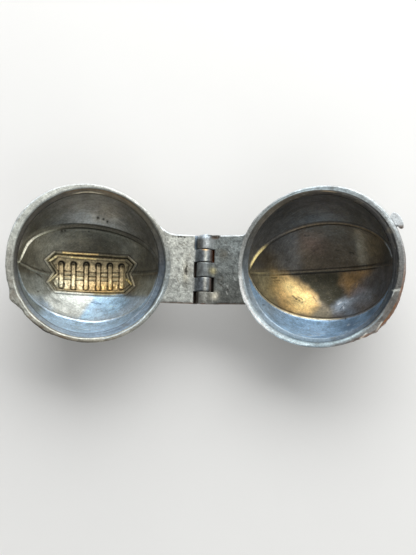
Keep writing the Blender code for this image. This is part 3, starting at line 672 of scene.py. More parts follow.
def plain_patina_and_light(plan, above, below):
    """Colours of the plain cavity, with light and shade painted in: dark olive, a golden patch that is a
    painted warm reflection, bronze, and a cool floor that is a painted reflection of the window.
    """
    light_gold, streak = (255, 228, 158), (212, 228, 240)
    return paint(linear((98, 89, 75)), [
        ((114, 113, 109), 0.8, plan.area(3.0, (-31, 1), (-13, 1), (-13, 24), (-31, 24))),
        *plan.spots(1, (92, 80, 60, 0.8, -26, 5, 4, 5), (112, 91, 80, 0.6, -7, 14, 6, 5),
                    (186, 179, 160, 0.9, 15.6, 10.5, 2.8, 7.5, 8), (122, 112, 92, 0.75, 22, 10, 5, 7),
                    (84, 84, 80, 0.8, 28.5, 4, 3, 7)),
        ((103, 102, 98), 0.95, above),
        *plan.spots(above, (110, 106, 102, 0.8, 0, 29, 14, 3.5)),
        ((115, 110, 107), 0.95, plan.area(2.5, (6, -1), (31, 1), (31, -22), (2, -22))),
        *plan.spots(1, (92, 94, 96, 0.9, 26, -7, 5, 9), (140, 130, 130, 0.6, 14, -9, 4, 4)),
        ((54, 52, 37), 0.95, plan.area(2.6, (-15, 0.5), (6, 0.8), (6, -4), (9, -8.5), (5, -13),
                                       (1.5, -16.5), (-4, -12.5), (-9, -8))),
        ((154, 145, 124), 0.9, plan.area(1.8, (-16, -13), (-7, -10.5), (-1, -14.5), (3, -17.5),
                                         (1, -22), (-14, -21))),
        ((162, 152, 118), 0.95, plan.area(2.5, (-31, -1), (-21.5, -0.5), (-21.5, -17), (-28, -9))),
        # The golden patch and the light gold spots: a painted warm reflection
        ((244, 202, 132), 0.95, plan.area(2.8, (-23, -0.8), (-19, -1.4), (-14.2, -3.8), (-10.0, -7.2),
                                          (-6.2, -10.6), (-4.6, -14.5), (-8, -19.5), (-17, -18), (-23, -9))),
        *plan.spots(1, (*light_gold, 0.85, -16.0, -7.0, 5.5, 2.8, -38),
                    (*light_gold, 0.8, -11.5, -13.5, 4, 3.2, -30),
                    (176, 148, 92, 0.6, -23.5, -6, 2.5, 7), (190, 160, 106, 0.6, -17, -14, 2.5, 2.5)),
        ((154, 122, 76), 0.9, plan.area(2.8, (5.5, 0.8), (18, 1.2), (14.5, -4), (9.4, -8.5), (5.5, -4))),
        # Then cool spots: a painted reflection of the window
        *plan.spots(1, (176, 144, 104, 0.6, 14.5, -0.6, 2.8, 1.8),
                    (190, 208, 224, 0.9, 6.6, -14.6, 4.6, 2.8, 32, 3),
                    (160, 172, 184, 0.6, 12, -12.4, 7, 2.0, 28), (142, 150, 158, 0.5, 19, -11, 6, 2.0, 35),
                    (150, 166, 182, 0.6, 10, -18, 3.5, 2.2)),
        # The cool floor below the lower seam, with its spots: a painted reflection of the window
        ((154, 190, 222), 0.95, below),
        *plan.spots(below, (178, 212, 244, 0.8, -2, -26.5, 7, 3), (158, 176, 190, 0.8, -22, -17, 6, 5, -45),
                    (98, 120, 144, 0.85, 12, -23.5, 4.5, 4, 20), (92, 110, 130, 0.85, 23, -19, 6, 5, 45),
                    (108, 132, 156, 0.7, 6, -31, 10, 2.0), (104, 112, 118, 0.8, 30, -6, 3, 9, -10)),
        *plan.lines(1, (*streak, 0.7, -9.3, -28.9, -1, -29.4, 0.35),
                    (*streak, 0.7, -4, -27.7, 1.5, -27.9, 0.25),
                    (*streak, 0.7, 8, -28.2, 14.1, -26.6, 0.3)),
        *plan.spots(1, (*streak, 0.8, 10.8, -23.7, 0.5, 0.5)),
        *plan.lines(1, (*streak, 0.6, 13.6, -24.0, 17, -22.3, 0.35)),
    ])


def cavity_colours(side, places, seam_parts, glint, panel, polish_and_highlight):
    """Colours of a cavity at its points: tarnish colours with painted light, scratches, painted seam
    highlights and shade lines, and the painted glint.
    """
    above, below, offsets = seam_parts
    plan = places[..., :2]
    warp = 0.9 * stacked(noise(places, 5.0, 61), noise(places, 5.0, 62))
    warp += (0.3 if side == LACED else 0.5) * stacked(noise(places, 1.5, 63), noise(places, 1.5, 64))
    if side == LACED:
        near = np.maximum(panel, smoothstep(-to_polyline(plan, BORDER_OUTER), -3.0, -1.5))
        warp *= 1 - 0.9 * near[..., None]
    patina_and_light = (laced_patina_and_light if side == LACED else plain_patina_and_light)(Plan(plan + warp), above, below)
    scratched = Plan(plan + warp * 0.8)
    patina_and_light = paint(patina_and_light, [
        (row[:3], min(SCRATCH_STRENGTH * row[3], 1.0), scratched.line(*row[4:8], SCRATCH_WIDTH * row[8]))
        for row in SCRATCHES[side]])
    # Ridges and lace cores lightened: painted highlights
    patina_and_light = patina_and_light * (1 + 0.25 * polish_and_highlight)[..., None]
    drawn = places * np.array([0.3, 1.0, 1.0])
    mottle = rough(drawn, (0.16, 1.6, 67)) + rough(places, (0.12, 2.6, 68), (0.1, 0.8, 69))
    patina_and_light = patina_and_light * (1 + mottle * (1 - panel))[..., None]
    flicker = 1 + rough(places, (0.35, 1.3, 76 + side), (0.15, 3.5, 78))
    # Painted highlights and painted shade lines along the seams
    patina_and_light = paint(patina_and_light, [(tone, amount, np.clip(mask * flicker, 0, 1))
                            for tone, amount, mask in seam_highlights_and_shade(side, plan[..., 0], offsets)])
    patina_and_light = patina_and_light * (1 + panel * rough(places, (0.3, 0.9, 65), (0.2, 0.5, 66)))[..., None]
    # The glint: a painted highlight
    return paint(patina_and_light, [(GLINTS[side][1], 1.0, glint)])


def around(tones, azimuth):
    """Linear colours by azimuth, from rows of azimuth, red, green and blue."""
    return stacked(*(round_curve([(row[0], linear(row[1:])[k]) for row in tones], azimuth)
                     for k in range(3)))


def rim_colours(side, azimuth, ring, part, step):
    """Colours of the lip, the rim band, its outer wall and the back, with light and shade painted in by
    azimuth, as lines and on the edges.
    """
    radius, degrees = np.hypot(ring[..., 0], ring[..., 1]), np.degrees(azimuth) % 360
    part = part[:, None]
    from_step = step - radius
    if side == PLAIN:
        from_step = from_step + 0.95 * bump(azimuth, 20, 34)
    inner = smoothstep(from_step, 0.15, 0.55)[..., None]
    worn = 1 + rough(ring, (0.16, 2.2, 72), (0.14, 0.8, 73))
    # Band and lip colours by azimuth carry painted shade and a painted reflection of the window
    colour = around(BAND_LIGHT_AND_TONES[side], azimuth) * worn[..., None] * (1 - inner)
    colour = colour + around(LIP_LIGHT_AND_TONES[side], azimuth) * inner
    colour = np.where(part[..., None] >= 4, linear(BACK_TONES[side]), colour)
    wobble = 0.15 * noise(ring, 3.0, 74)
    patches = []
    # Painted highlights on edges and lips, and darker lines, along the rim
    for first, last, start, end, half_width, *tone, amount in RIM_HIGHLIGHTS_AND_DARK_LINES[side]:
        middle = start + (end - start) * np.clip((degrees - first) / (last - first), 0, 1)
        soft = min(10, (last - first) / 3)
        window = smoothstep(degrees, first - 1, first + soft) * (part < 4)
        window = window * (1 - smoothstep(degrees, last - soft, last + 1))
        mask = ridge(np.abs(radius + wobble - middle), half_width) * window
        patches.append((tone, amount, mask))
    if side == LACED:
        rust = bump(azimuth, 290, 36) * smoothstep(noise(ring, 1.3, 71), 0.0, 0.5)
        patches.append(((96, 74, 50), 0.6, rust * (radius > step + 0.7) * (part > 0) * (part < 5)))
    else:
        # Orange-brown on the outer wall towards the lower right, over its rough edge: a painted warm
        # reflection
        edge = 0.3 + 0.55 * smoothstep(noise(ring, 1.7, 75), -0.5, 0.3)
        patches.append(((146, 94, 50), 1.0, bump(azimuth, 325, 24) * edge * (part >= 2) * (part < 5)))
    # The rounded outer edge lighter on the +v side: a painted highlight where it faces the window
    patches.append(((214, 220, 222), 0.6, bump(azimuth, 85, 45) * (part == 2)))
    return paint(colour, patches)


def tracks(points, azimuth):
    """Coordinates that run along the rim much more slowly than across it, for turning marks."""
    lengths = np.linalg.norm(np.diff(points, axis=0), axis=-1)
    across = np.concatenate([np.zeros((1, points.shape[1])), np.cumsum(lengths, 0)])
    slow = 1.6
    grid = stacked(slow * np.cos(azimuth), slow * np.sin(azimuth), across)
    return np.concatenate([grid.reshape(-1, 3), grid[0, :1], grid[-1, :1]]) * MM


def make_bowl(name, side, material, segments, cavity_rings, fine_share):
    """Half bowl: its cavity with the seams and the lacing, its rim and its back. The fine share of
    the cavity's rings lies in its inner part."""
    azimuth = 2 * np.pi * np.arange(segments) / segments
    cos_az, sin_az = np.cos(azimuth), np.sin(azimuth)
    rows, part, step = bowl_profile(side, azimuth)
    fine, fine_end = int(cavity_rings * fine_share), math.radians(47)
    last = math.acos(-rows[0, 1, 0] / CAVITY)
    angles = np.concatenate([
        np.linspace(math.radians(0.3), fine_end, fine, endpoint=False),
        np.linspace(fine_end, last, cavity_rings - fine, endpoint=False)])[:, None]
    direction = stacked(np.sin(angles) * cos_az, np.sin(angles) * sin_az, -np.cos(angles))
    places = direction * CAVITY
    plan = places[..., :2]
    seam, flanks, *seam_parts = seam_relief(side, direction)
    glint = Plan(plan).spot(*GLINTS[side][0]) * smoothstep(seam, 0.1, 0.4)
    lift = seam * (1 + 0.6 * glint) + rough(places, (0.05, 9.0, 11 + side), (0.012, 3.0, 21 + side))
    dirt_and_shade = polish_and_highlight = panel = np.zeros_like(lift)
    if side == LACED:
        relief, dirt_and_shade, polish_and_highlight, panel = lacing_relief(plan, places)
        lift = lift + relief
    cavity = direction * (CAVITY - lift)[..., None]

    ring = stacked(rows[:, 0] * cos_az, rows[:, 0] * sin_az, rows[:, 1])
    grain = rough(ring, (0.06, 1.1, 31 + side), (0.03, 0.55, 41 + side))
    worn = bump(azimuth, 325, 22) + 0.5 * bump(azimuth, 300, 12)
    rough_edge = rough(ring, (0.22, 1.8, 51), (0.12, 0.8, 52)) * worn
    on_rim = ((part >= 1) & (part <= 4))[:, None]
    ring[..., 2] += np.where(on_rim, grain, grain * 0.6) * (part < 3)[:, None]
    outwards = (grain + rough_edge * on_rim) * (part >= 2)[:, None]
    ring += outwards[..., None] * stacked(cos_az, sin_az, 0.0)

    points = np.concatenate([cavity, ring])
    poles = [(0, 0, lift[0].mean() - CAVITY), (0, 0, -SHELL)]
    world = to_world(np.concatenate([points.reshape(-1, 3), poles]) + (REACH, 0, PARTING), side)
    world[:, 2] = np.maximum(world[:, 2], 0.0)
    here = np.arange(segments)
    beside, base, pole = (here + 1) % segments, (len(points) - 1) * segments, len(points) * segments
    faces = [*grid_faces(len(points), segments), *stacked(pole, beside, here),
             *stacked(pole + 1, base + here, base + beside)]

    colour = cavity_colours(side, places, seam_parts, glint, panel, polish_and_highlight)
    colour = np.concatenate([colour, rim_colours(side, azimuth, ring, part, step)]).reshape(-1, 3)
    # Grime and painted shade: the lacing's recesses, the seams' dark lines and the pits
    dirt_and_shade = np.max([dirt_and_shade, flanks * (1 - glint)]
                  + [Plan(plan).spot(a, b, size, size) for a, b, size in CAVITY_PITS[side]], axis=0)
    bright = 0.4 * bump(azimuth, 236, 42) if side == PLAIN else 0.25 * bump(azimuth, 100, 30)

    def everywhere(cavity_values, lip, rim, back, less=0.0):
        """A mask on the cavity, lip, rim and back, and at the two poles."""
        rest = np.where(part == 0, lip, np.where(part < 4, rim, back))[:, None]
        rest = np.maximum(rest - less + 0.0 * azimuth, 0.0)
        values = np.concatenate([cavity_values, rest])
        return np.concatenate([values.ravel(), values[[0, -1]].mean(1)])

    masks = {
        "patina_and_light": np.concatenate([colour, colour[:1], colour[-1:]]),
        "metal": everywhere(0.62 - 0.6 * glint + 0.1 * panel, 0.45, 0.45, 0.5, bright),
        "shine": everywhere(np.full_like(glint, 0.42), 0.48, 0.5, 0.5),
        "grain": everywhere(0.15 + 0.35 * panel, 0.35, 1.0, 0.8),
        "soil_and_shade": everywhere(dirt_and_shade, 0.0, 0.0, 0.3),
        "track": tracks(points, azimuth),
    }
    # The rings run from the cavity's bottom outwards, so the laced half is the mirrored one
    return make_mesh(name, world, faces, material, masks, flip=side == PLAIN)


def knuckle_spans(first):
    """Spans along v of every second knuckle, from the given one at the upper end."""
    spans, high = [], BARREL_HIGH
    for length in KNUCKLE_LENGTHS:
        spans.append((high - length, high))
        high -= length + KNUCKLE_PLAY
    return spans[first::2]


def rim_point(side, azimuth, out=0.0):
    """Plan point at a distance out from the rim's outer edge."""
    radius = rim_outer(side, azimuth) + out
    return stacked(REACH + radius * np.cos(azimuth), radius * np.sin(azimuth))


def crowd(count):
    """Shares from 0 to 1, closer together near both ends."""
    t = np.linspace(0, 1, count)
    return 0.45 * t + 0.55 * (0.5 - 0.5 * np.cos(np.pi * t))


def leaf_borders(side, count_t, count_s):
    """The four borders of a leaf in u and v: lower and upper edge, hinge side and rim side, and
    the corners of the upper and the lower edge."""
    edge, fillet = BARREL_HIGH, LEAF_FILLET[side]

    def edge_radius(azimuth):
        return float(rim_outer(side, np.array(azimuth)))

    low_az = high_az = np.pi
    for _ in range(30):
        low_az = np.pi - math.asin(BARREL_LOW / edge_radius(low_az))
        high_az = np.pi - math.asin((edge + fillet) / (edge_radius(high_az) + fillet))
    reach = edge_radius(high_az) + fillet
    centre = np.array([REACH - math.sqrt(reach ** 2 - (edge + fillet) ** 2), edge + fillet])
    upper, turn = [np.array([NOTCH_REACH, edge])], -math.pi / 2
    while True:
        point = centre + fillet * np.array([math.cos(turn), math.sin(turn)])
        tip_az = math.atan2(point[1], point[0] - REACH)
        if math.hypot(point[0] - REACH, point[1]) < edge_radius(tip_az) + 0.25:
            break
        upper.append(point)
        turn += math.radians(3)
    upper = np.array(upper + [rim_point(side, np.array(tip_az))])
    lower = np.array([[NOTCH_REACH, BARREL_LOW], rim_point(side, np.array(low_az))])

    def even(line, count):
        length = np.concatenate([[0], np.cumsum(np.linalg.norm(np.diff(line, axis=0), axis=1))])
        t = crowd(count) * length[-1]
        return stacked(*(np.interp(t, length, line[:, k]) for k in (0, 1)))

    s = crowd(count_s)
    hinge = stacked(NOTCH_REACH, BARREL_LOW * (1 - s) + edge * s)
    mate = rim_point(side, low_az + (tip_az - low_az) * s, -0.04)
    return even(lower, count_t), even(upper, count_t), hinge, mate, upper, lower


def make_leaf(name, side, material):
    """Hinge leaf: its plate, its knuckles and the shelf below the other half's knuckles."""
    count_t, count_s, wall_rows = 64, 120, 3
    low, high, hinge, mate, upper_line, lower_line = leaf_borders(side, count_t, count_s)
    t, s = crowd(count_t)[None, :, None], crowd(count_s)[:, None, None]
    corners = ((1 - s) * (1 - t) * hinge[0] + s * (1 - t) * hinge[-1]
               + (1 - s) * t * mate[0] + s * t * mate[-1])
    plan = (1 - s) * low + s * high + (1 - t) * hinge[:, None] + t * mate[:, None] - corners
    level = stacked(plan[..., 0], plan[..., 1], 0.0)
    edge = to_polyline(plan, np.concatenate([upper_line[::-1], lower_line]), closed=False)
    radius = 0.75 + 0.3 * noise(level, 3.0, 81 + side)
    inward = np.clip(1 - edge / radius, 0, 1)
    drop = radius * (1 - np.sqrt(np.clip(1 - inward ** 2, 0, 1)))
    surface = rough(level, (0.06, 2.4, 82 + side), (0.05, 0.9, 83 + side))
    pit = sum(depth * Plan(plan).spot(u, v, size, size) for u, v, size, depth in LEAF_PITS[side])
    calm = smoothstep(t[..., 0], 1.0, 0.93)
    top = level + stacked(0.0, 0.0, PARTING - drop + (surface - pit) * calm)
    bottom = level + stacked(0.0, 0.0, LEAF_BOTTOM + drop * 0.8 + surface)
    top, bottom = top.reshape(-1, 3), bottom.reshape(-1, 3)
    ids = np.arange(len(top)).reshape(count_s, count_t)
    loop = np.concatenate([ids[0], ids[1:, -1], ids[-1, -2::-1], ids[-2:0:-1, 0]])
    plate = grid_faces(count_s, count_t, wrap=False)
    faces = [*plate, *(plate[:, ::-1] + len(top))]
    shares = np.arange(1, wall_rows + 1) / (wall_rows + 1)
    walls = [top[loop] * (1 - share) + bottom[loop] * share for share in shares]
    rings = [loop, *(2 * len(top) + k * len(loop) + np.arange(len(loop)) for k in range(wall_rows)),
             len(top) + loop]
    for first, second in zip(rings, rings[1:]):
        faces += [*stacked(np.roll(first, -1), first, second, np.roll(second, -1))]
    points = [top, bottom, *walls]
    knuckles = [knuckle(side, span) for span in knuckle_spans(int(side == LACED))]
    for rows, more in [*knuckles, shelf(side)]:
        first_shelf = sum(len(p) for p in points)
        faces += [np.asarray(face) + first_shelf for face in more]
        points.append(rows)
    half = np.concatenate(points)
    upper_edge_highlight, pits = np.zeros((2, len(half)))
    from_upper = to_polyline(plan, upper_line, closed=False).ravel()
    # A painted highlight along the leaf's upper edge
    upper_edge_highlight[:len(top)] = 1 - smoothstep(from_upper, 0.2, 0.9)
    pits[:len(top)] = np.clip(pit.ravel() * 3.5, 0, 1)
    masks = leaf_masks(side, half, pits, len(top), upper_edge_highlight, first_shelf)
    return make_mesh(name, to_world(half, side), faces, material, masks, flip=side == PLAIN)


def knuckle_profile():
    """Closed outline of a knuckle in u and w, by angle from the leaf's face over the barrel."""
    start, last = math.radians(46), NOTCH_REACH - 0.05
    begin = KNUCKLE_RADIUS * np.array([math.cos(start), math.sin(start)])
    pulls = ((last, PARTING), (last - 0.55, PARTING + 0.02),
             begin + 0.9 * np.array([math.sin(start), -math.cos(start)]), begin)
    t = np.linspace(0, 1, 9)[:-1, None]
    shares = (1 - t) ** 3, 3 * (1 - t) ** 2 * t, 3 * (1 - t) * t * t, t ** 3
    soft = sum(share * np.array(pull) for share, pull in zip(shares, pulls))
    angles = np.linspace(start, 1.5 * math.pi, 56)
    barrel = KNUCKLE_RADIUS * stacked(np.cos(angles), np.sin(angles))
    underside = ((u, LEAF_BOTTOM) for u in (0.6, 2.0, 4.0, ROOT_REACH))
    base = [(0.0, -3.9), (0.12, LEAF_BOTTOM + 0.12), *underside, (ROOT_REACH, -2.5),
            (ROOT_REACH, PARTING - 0.05), (5.2, PARTING - 0.02)]
    return np.concatenate([soft, barrel, base])


def shelf(side):
    """Hollow-faced shelf along the hinge side, below the other half's knuckles; it fills the gap there and
    is painted dark, as shade, except where light falls into the gap.
    """
    hollow, bottom = KNUCKLE_RADIUS + NOTCH_CLEARANCE, LEAF_BOTTOM + 0.02
    turns = np.linspace(-math.asin(SHELF_TOP / hollow), -math.acos(SHELF_REACH / hollow), 14)
    line = np.concatenate([hollow * stacked(np.cos(turns), np.sin(turns)),
                           [(SHELF_REACH, -3.6), (SHELF_REACH + 0.15, bottom), (ROOT_REACH, bottom),
                            (ROOT_REACH, -SHELF_TOP)]])
    low, high = BARREL_LOW + 0.03, BARREL_HIGH - 0.03
    if side == PLAIN:
        low, high = low + KNUCKLE_LENGTHS[-1] / 2, high - KNUCKLE_LENGTHS[0] / 2
    along = np.linspace(low, high, 60)[:, None]
    grid = stacked(line[:, 0], along, line[:, 1])
    return grid.reshape(-1, 3), closed_faces(len(along), len(line))


def from_axis(points):
    """Unit directions away from the hinge's axis."""
    outwards = points * (1, 0, 1)
    return outwards / np.maximum(np.linalg.norm(outwards, axis=-1, keepdims=True), 1e-6)


def knuckle(side, span):
    """Ring-shaped knuckle with rounded ends; the plain half's top one is worn."""
    profile = knuckle_profile()
    angle = np.arctan2(profile[:, 1], profile[:, 0])
    bore = BORE_RADIUS * stacked(np.cos(angle), np.sin(angle))
    inwards = np.array([0.6, -0.9]) - profile
    keep = (profile[:, 0] < 4.1) * 1.0
    inwards *= (keep / np.linalg.norm(inwards, axis=1))[:, None]
    low, high = span
    rounding = worn = np.full(len(profile), 0.35)
    if side == PLAIN and high == BARREL_HIGH:
        worn = rounding + 1.1 * smoothstep(-profile[:, 0], -1.8, 1.2)

    def rounded(end, way, radius):
        """Rows from an end of the knuckle to its full outline."""
        return [(end + way * radius * (1 - math.cos(turn)),
                 profile + inwards * (radius * (1 - math.sin(turn)))[:, None])
                for turn in np.radians((0, 22, 45, 67, 90))]

    count = 10
    middle = [(low + rounding + (high - low - rounding - worn) * k / count, profile)
              for k in range(1, count)]
    rows = [(low, bore), *rounded(low, 1, rounding), *middle, *rounded(high, -1, worn)[::-1],
            (high, bore)]
    points = np.stack([stacked(line[:, 0], v, line[:, 1]) for v, line in rows])
    wear = rough(points, (0.035, 1.6, 91 + side), (0.02, 0.7, 92))
    if side == PLAIN:
        wear = wear - 0.5 * Plan(points).spot(3.2, 13.3, 1.4, 0.5)
    points = points + from_axis(points) * (wear * keep)[..., None]
    faces = grid_faces(len(rows), len(profile), wrap_rows=True)
    return points.reshape(-1, 3), faces[:, ::-1]


def leaf_masks(side, half, pits, plate_count, upper_edge_highlight, first_shelf):
    """Colours and finish of a leaf, its knuckles and its shelf, with light and shade painted in."""
    u, v, w = half.T
    plan = Plan(half[:, :2])
    barrel = smoothstep(-u, -4.6, -3.4) * (w > -3.6)
    if side == LACED:
        face, low_tone, knuckle_tone = (172, 174, 166), (154, 157, 151), (138, 144, 146)
        rust = (120, 78, 44)
        shelf_light, shelf_tone = v > 7.6, (126, 140, 152)
        crack = (30, 27, 23)
        marks = [
            *plan.lines(1, (214, 216, 206, 0.6, 12.0, 9.2, 10.4, 8.4, 0.5)),
            *plan.spots(1, (150, 142, 118, 0.5, 8.0, -3.0, 1.5, 5)),
            # Painted shade on the barrel's leaf-side flank, a painted highlight along its top, and rust on
            # its far flank
            ((72, 82, 94), 0.5, smoothstep(u, -0.2, 1.6) * barrel),
            ((222, 222, 210), 0.65, np.exp(-((u + 0.2) / 0.6) ** 2) * barrel),
            (rust, 0.5, smoothstep(-u, 1.6, 2.8) * barrel),
            # A painted warm highlight at the top knuckle's upper end
            *plan.spots(barrel, (236, 190, 120, 0.8, 0.0, 7.2, 1.1, 0.45)),
            # A painted highlight along the notch's edge
            ((220, 224, 214), 0.6, ridge(np.abs(u - 4.75), 0.5) * (w > -0.6)),
            # A crack, with a painted highlight at its lower end
            *plan.lines(w > -1.5, (*crack, 1.0, 7.5, 0.4, 8.0, -1.4, 0.3),
                        (*crack, 1.0, 8.0, -1.4, 7.8, -3.2, 0.42),
                        (226, 226, 216, 0.8, 7.3, -3.4, 7.0, -4.2, 0.35)),
            *plan.lines(1, (92, 88, 76, 0.8, 11.2, 9.8, 9.4, 9.0, 0.35),
                        (92, 88, 76, 0.8, 9.2, 10.4, 8.2, 9.2, 0.35),
                        (96, 90, 76, 0.7, 12.4, 3.4, 11.2, 2.2, 0.35),
                        (212, 214, 204, 0.7, 9.6, -0.4, 9.0, -3.2, 0.35),
                        (104, 98, 84, 0.6, 11.8, -5.4, 10.6, -7.6, 0.4),
                        (206, 210, 200, 0.6, 14.2, 7.2, 13.0, 5.2, 0.4),
                        (110, 104, 88, 0.6, 6.6, 5.6, 6.0, 3.4, 0.35)),
        ]
    else:
        face, low_tone, knuckle_tone = (120, 127, 126), (96, 99, 95), (121, 126, 126)
        rust = (96, 66, 42)
        shelf_light, shelf_tone = (v > 1.8) & (v < 7.6), (122, 72, 40)
        upper_edge_highlight = upper_edge_highlight * smoothstep(u, 6.2, 7.6)
        marks = [
            # Painted shade on the top knuckle's flank towards the laced side, and painted highlights on it
            # and on its upper end
            ((92, 92, 90), 0.8, smoothstep(-u, -0.6, 0.7) * (v > 7.4) * barrel),
            *plan.spots(barrel, (196, 202, 202, 0.85, 2.2, 10.2, 1.8, 2.6)),
            ((206, 220, 230), 0.7, smoothstep(v, 11.5, 12.8) * (u < 3.0) * barrel),
            *plan.spots(1, (84, 76, 56, 0.5, 8.5, 5, 2.5, 2.5)),
            ((146, 145, 136), 0.7, smoothstep(-v, 9, 11) * barrel),
            *plan.spots(1, (206, 196, 146, 0.75, 4.1, -1.9, 1.2, 1.4),
                        (232, 226, 206, 0.85, 5.1, -12.8, 1.5, 1.6),
                        (84, 66, 48, 0.95, 4.6, 12.9, 2.0, 0.9, 0, 4),
                        (30, 24, 20, 0.95, 4.2, 13.1, 1.5, 0.45, 12)),
            # A painted shadow on the bottom knuckle's flank towards the laced side
            ((44, 36, 28), 0.95, smoothstep(-u, 0.6, 2.0) * (v < -8.5) * barrel),
            *plan.lines(1, (186, 188, 184, 0.5, 10.4, -8.2, 11.6, -10.6, 0.4),
                        (206, 208, 202, 0.9, 10.2, -10.8, 10.7, -12.0, 0.35),
                        (52, 50, 42, 0.8, 6.8, -7.2, 7.8, -8.6, 0.4),
                        (56, 54, 46, 0.8, 8.0, -8.0, 9.2, -9.8, 0.35),
                        (58, 56, 48, 0.7, 7.6, -4.0, 8.6, -4.6, 0.4),
                        (176, 180, 178, 0.7, 11.6, 9.0, 12.4, 8.2, 0.35),
                        (170, 174, 172, 0.7, 10.6, 6.6, 11.2, 5.4, 0.35),
                        (62, 62, 56, 0.6, 13.0, 2.6, 14.2, 1.4, 0.4),
                        (158, 162, 160, 0.6, 13.2, -4.4, 14.2, -6.2, 0.4)),
        ]
    low_edge = smoothstep(-v, -BARREL_LOW - 0.9, -BARREL_LOW + 0.1) * (w < -0.3)
    low_edge = low_edge * (0.35 + 0.65 * smoothstep(noise(half, 1.7, 105), -0.4, 0.4))
    colour = paint(linear(face), [
        (low_tone, 1, smoothstep(-v, -12, 14)), (knuckle_tone, 1, barrel), *marks,
        (rust, 0.75, low_edge), ((110, 106, 98), 0.5, w < LEAF_BOTTOM + 0.6)])
    mottle = 1 + rough(half, (0.26, 2.6, 101 + side), (0.32, 1.1, 102 + side), (0.24, 0.5, 103))
    mottle = mottle + 0.16 * noise(half, 0.6, 104) * barrel * (v < -10.5)
    # A painted highlight along the upper edge
    colour = paint(colour * mottle[:, None], [((232, 240, 244), 0.85, upper_edge_highlight)])
    # Painted shade in the gap between the knuckles and the leaf, and on the shelf, which is painted dark
    # with rust in it except where light falls into the gap
    flat = barrel < 0.5
    gap = (u < 4.6) & (w < -0.5) & (w > -3.6) & flat
    gap[:plate_count] = False
    soil_and_shade = np.maximum(pits, 0.9 * gap)
    on_shelf = np.arange(len(half)) >= first_shelf
    lit = on_shelf & shelf_light & (w > -3.2)
    soil_and_shade = np.where(lit, 0.1, np.where(on_shelf, 0.85, soil_and_shade))
    dark = (on_shelf & ~lit)[:, None]
    colour = np.where(lit[:, None], linear(shelf_tone),
                      np.where(dark, colour * 0.4 + linear(rust) * 0.6, colour))
    return {
        "patina_and_light": colour, "metal": np.where(flat, 0.5, 0.8), "shine": np.where(flat, 0.5, 0.4),
        "grain": np.where(flat, 1.0, 0.5), "soil_and_shade": soil_and_shade,
    }


def make_pin(material):
    """Rusty pin with hammered, slightly domed ends."""
    low, high, sides = BARREL_LOW, BARREL_HIGH, 40
    dome = ((0.25, 0.05), (0.2, 0.7), (0.0, 1.2), (-0.4, PIN_RADIUS))
    rows = [(low - out, radius) for out, radius in dome]
    rows += [(v, PIN_RADIUS) for v in np.linspace(low + 0.8, high - 0.8, 60)]
    rows += [(high + out, radius) for out, radius in dome[::-1]]
    turn = 2 * np.pi * np.arange(sides) / sides
    v, radius = (column[:, None] for column in np.array(rows).T)
    grid = stacked(radius * np.cos(turn), v, radius * np.sin(turn))
    flaw = rough(grid, (0.05, 1.0, 95), (0.03, 0.5, 96)) * smoothstep(radius, 0.3, 1.0)
    grid = grid + from_axis(grid) * flaw[..., None]
    world = to_world(grid.reshape(-1, 3), PLAIN)
    return make_mesh("pin_iron", world, closed_faces(len(rows), sides), material, {})


def make_lug(material):
    """Thumb lug: its outline extruded and its edges rounded."""
    radius = float(rim_outer(PLAIN, np.array(LUG_ANGLE)))
    root = [(-0.25, along) for along in np.linspace(LUG_ROOT, -LUG_ROOT, 9)]
    outline = [rim_point(PLAIN, np.array(LUG_ANGLE + along / radius), out)
               for out, along in [*root, *along_curve(np.array(LUG_HEAD), 6)]]
    shape = bmesh.new()
    lower, upper = ([shape.verts.new((u, v, w)) for u, v in outline]
                    for w in (PARTING - LUG_THICKNESS, PARTING))
    shape.faces.new(lower[::-1])
    shape.faces.new(upper)
    for index in range(len(outline)):
        beside = (index + 1) % len(outline)
        shape.faces.new((lower[index], lower[beside], upper[beside], upper[index]))
    bmesh.ops.recalc_face_normals(shape, faces=shape.faces)
    edges = [e for e in shape.edges if abs(e.verts[0].co.z - e.verts[1].co.z) < 1e-6]
    bmesh.ops.bevel(shape, geom=edges, offset=LUG_ROUNDING, segments=4, profile=0.5, affect="EDGES",
                    clamp_overlap=True)
    bmesh.ops.triangulate(shape, faces=[f for f in shape.faces if len(f.verts) > 4])
    long_edges = [e for e in shape.edges if e.calc_length() > 0.9]
    bmesh.ops.subdivide_edges(shape, edges=long_edges, cuts=2, use_grid_fill=True)
    # Sorted, because the bevel and the cuts leave them in another order in each run
    corners = sorted(shape.verts, key=lambda vert: tuple(vert.co))
    number = {vert: index for index, vert in enumerate(corners)}
    points = np.array([vert.co for vert in corners])
    faces = sorted([number[vert] for vert in face.verts] for face in shape.faces)
    shape.free()
    points = points + 0.03 * stacked(*(noise(points, 1.0, seed) for seed in (97, 98, 99)))
    out = np.hypot(points[:, 0] - REACH, points[:, 1]) - radius
    tip = smoothstep(17.4 - points[:, 1], 0, 1.6) * smoothstep(out, 0.4, 1.2)
    colour = paint(linear((204, 210, 212)), [((112, 94, 78), 0.85, tip)])
    even = np.ones(len(points))
    masks = {"patina_and_light": colour, "metal": even * 0.4, "shine": even * 0.5, "grain": even * 0.8,
             "soil_and_shade": even * 0.0}
    return make_mesh("lug_pewter", to_world(points, PLAIN), faces, material, masks)


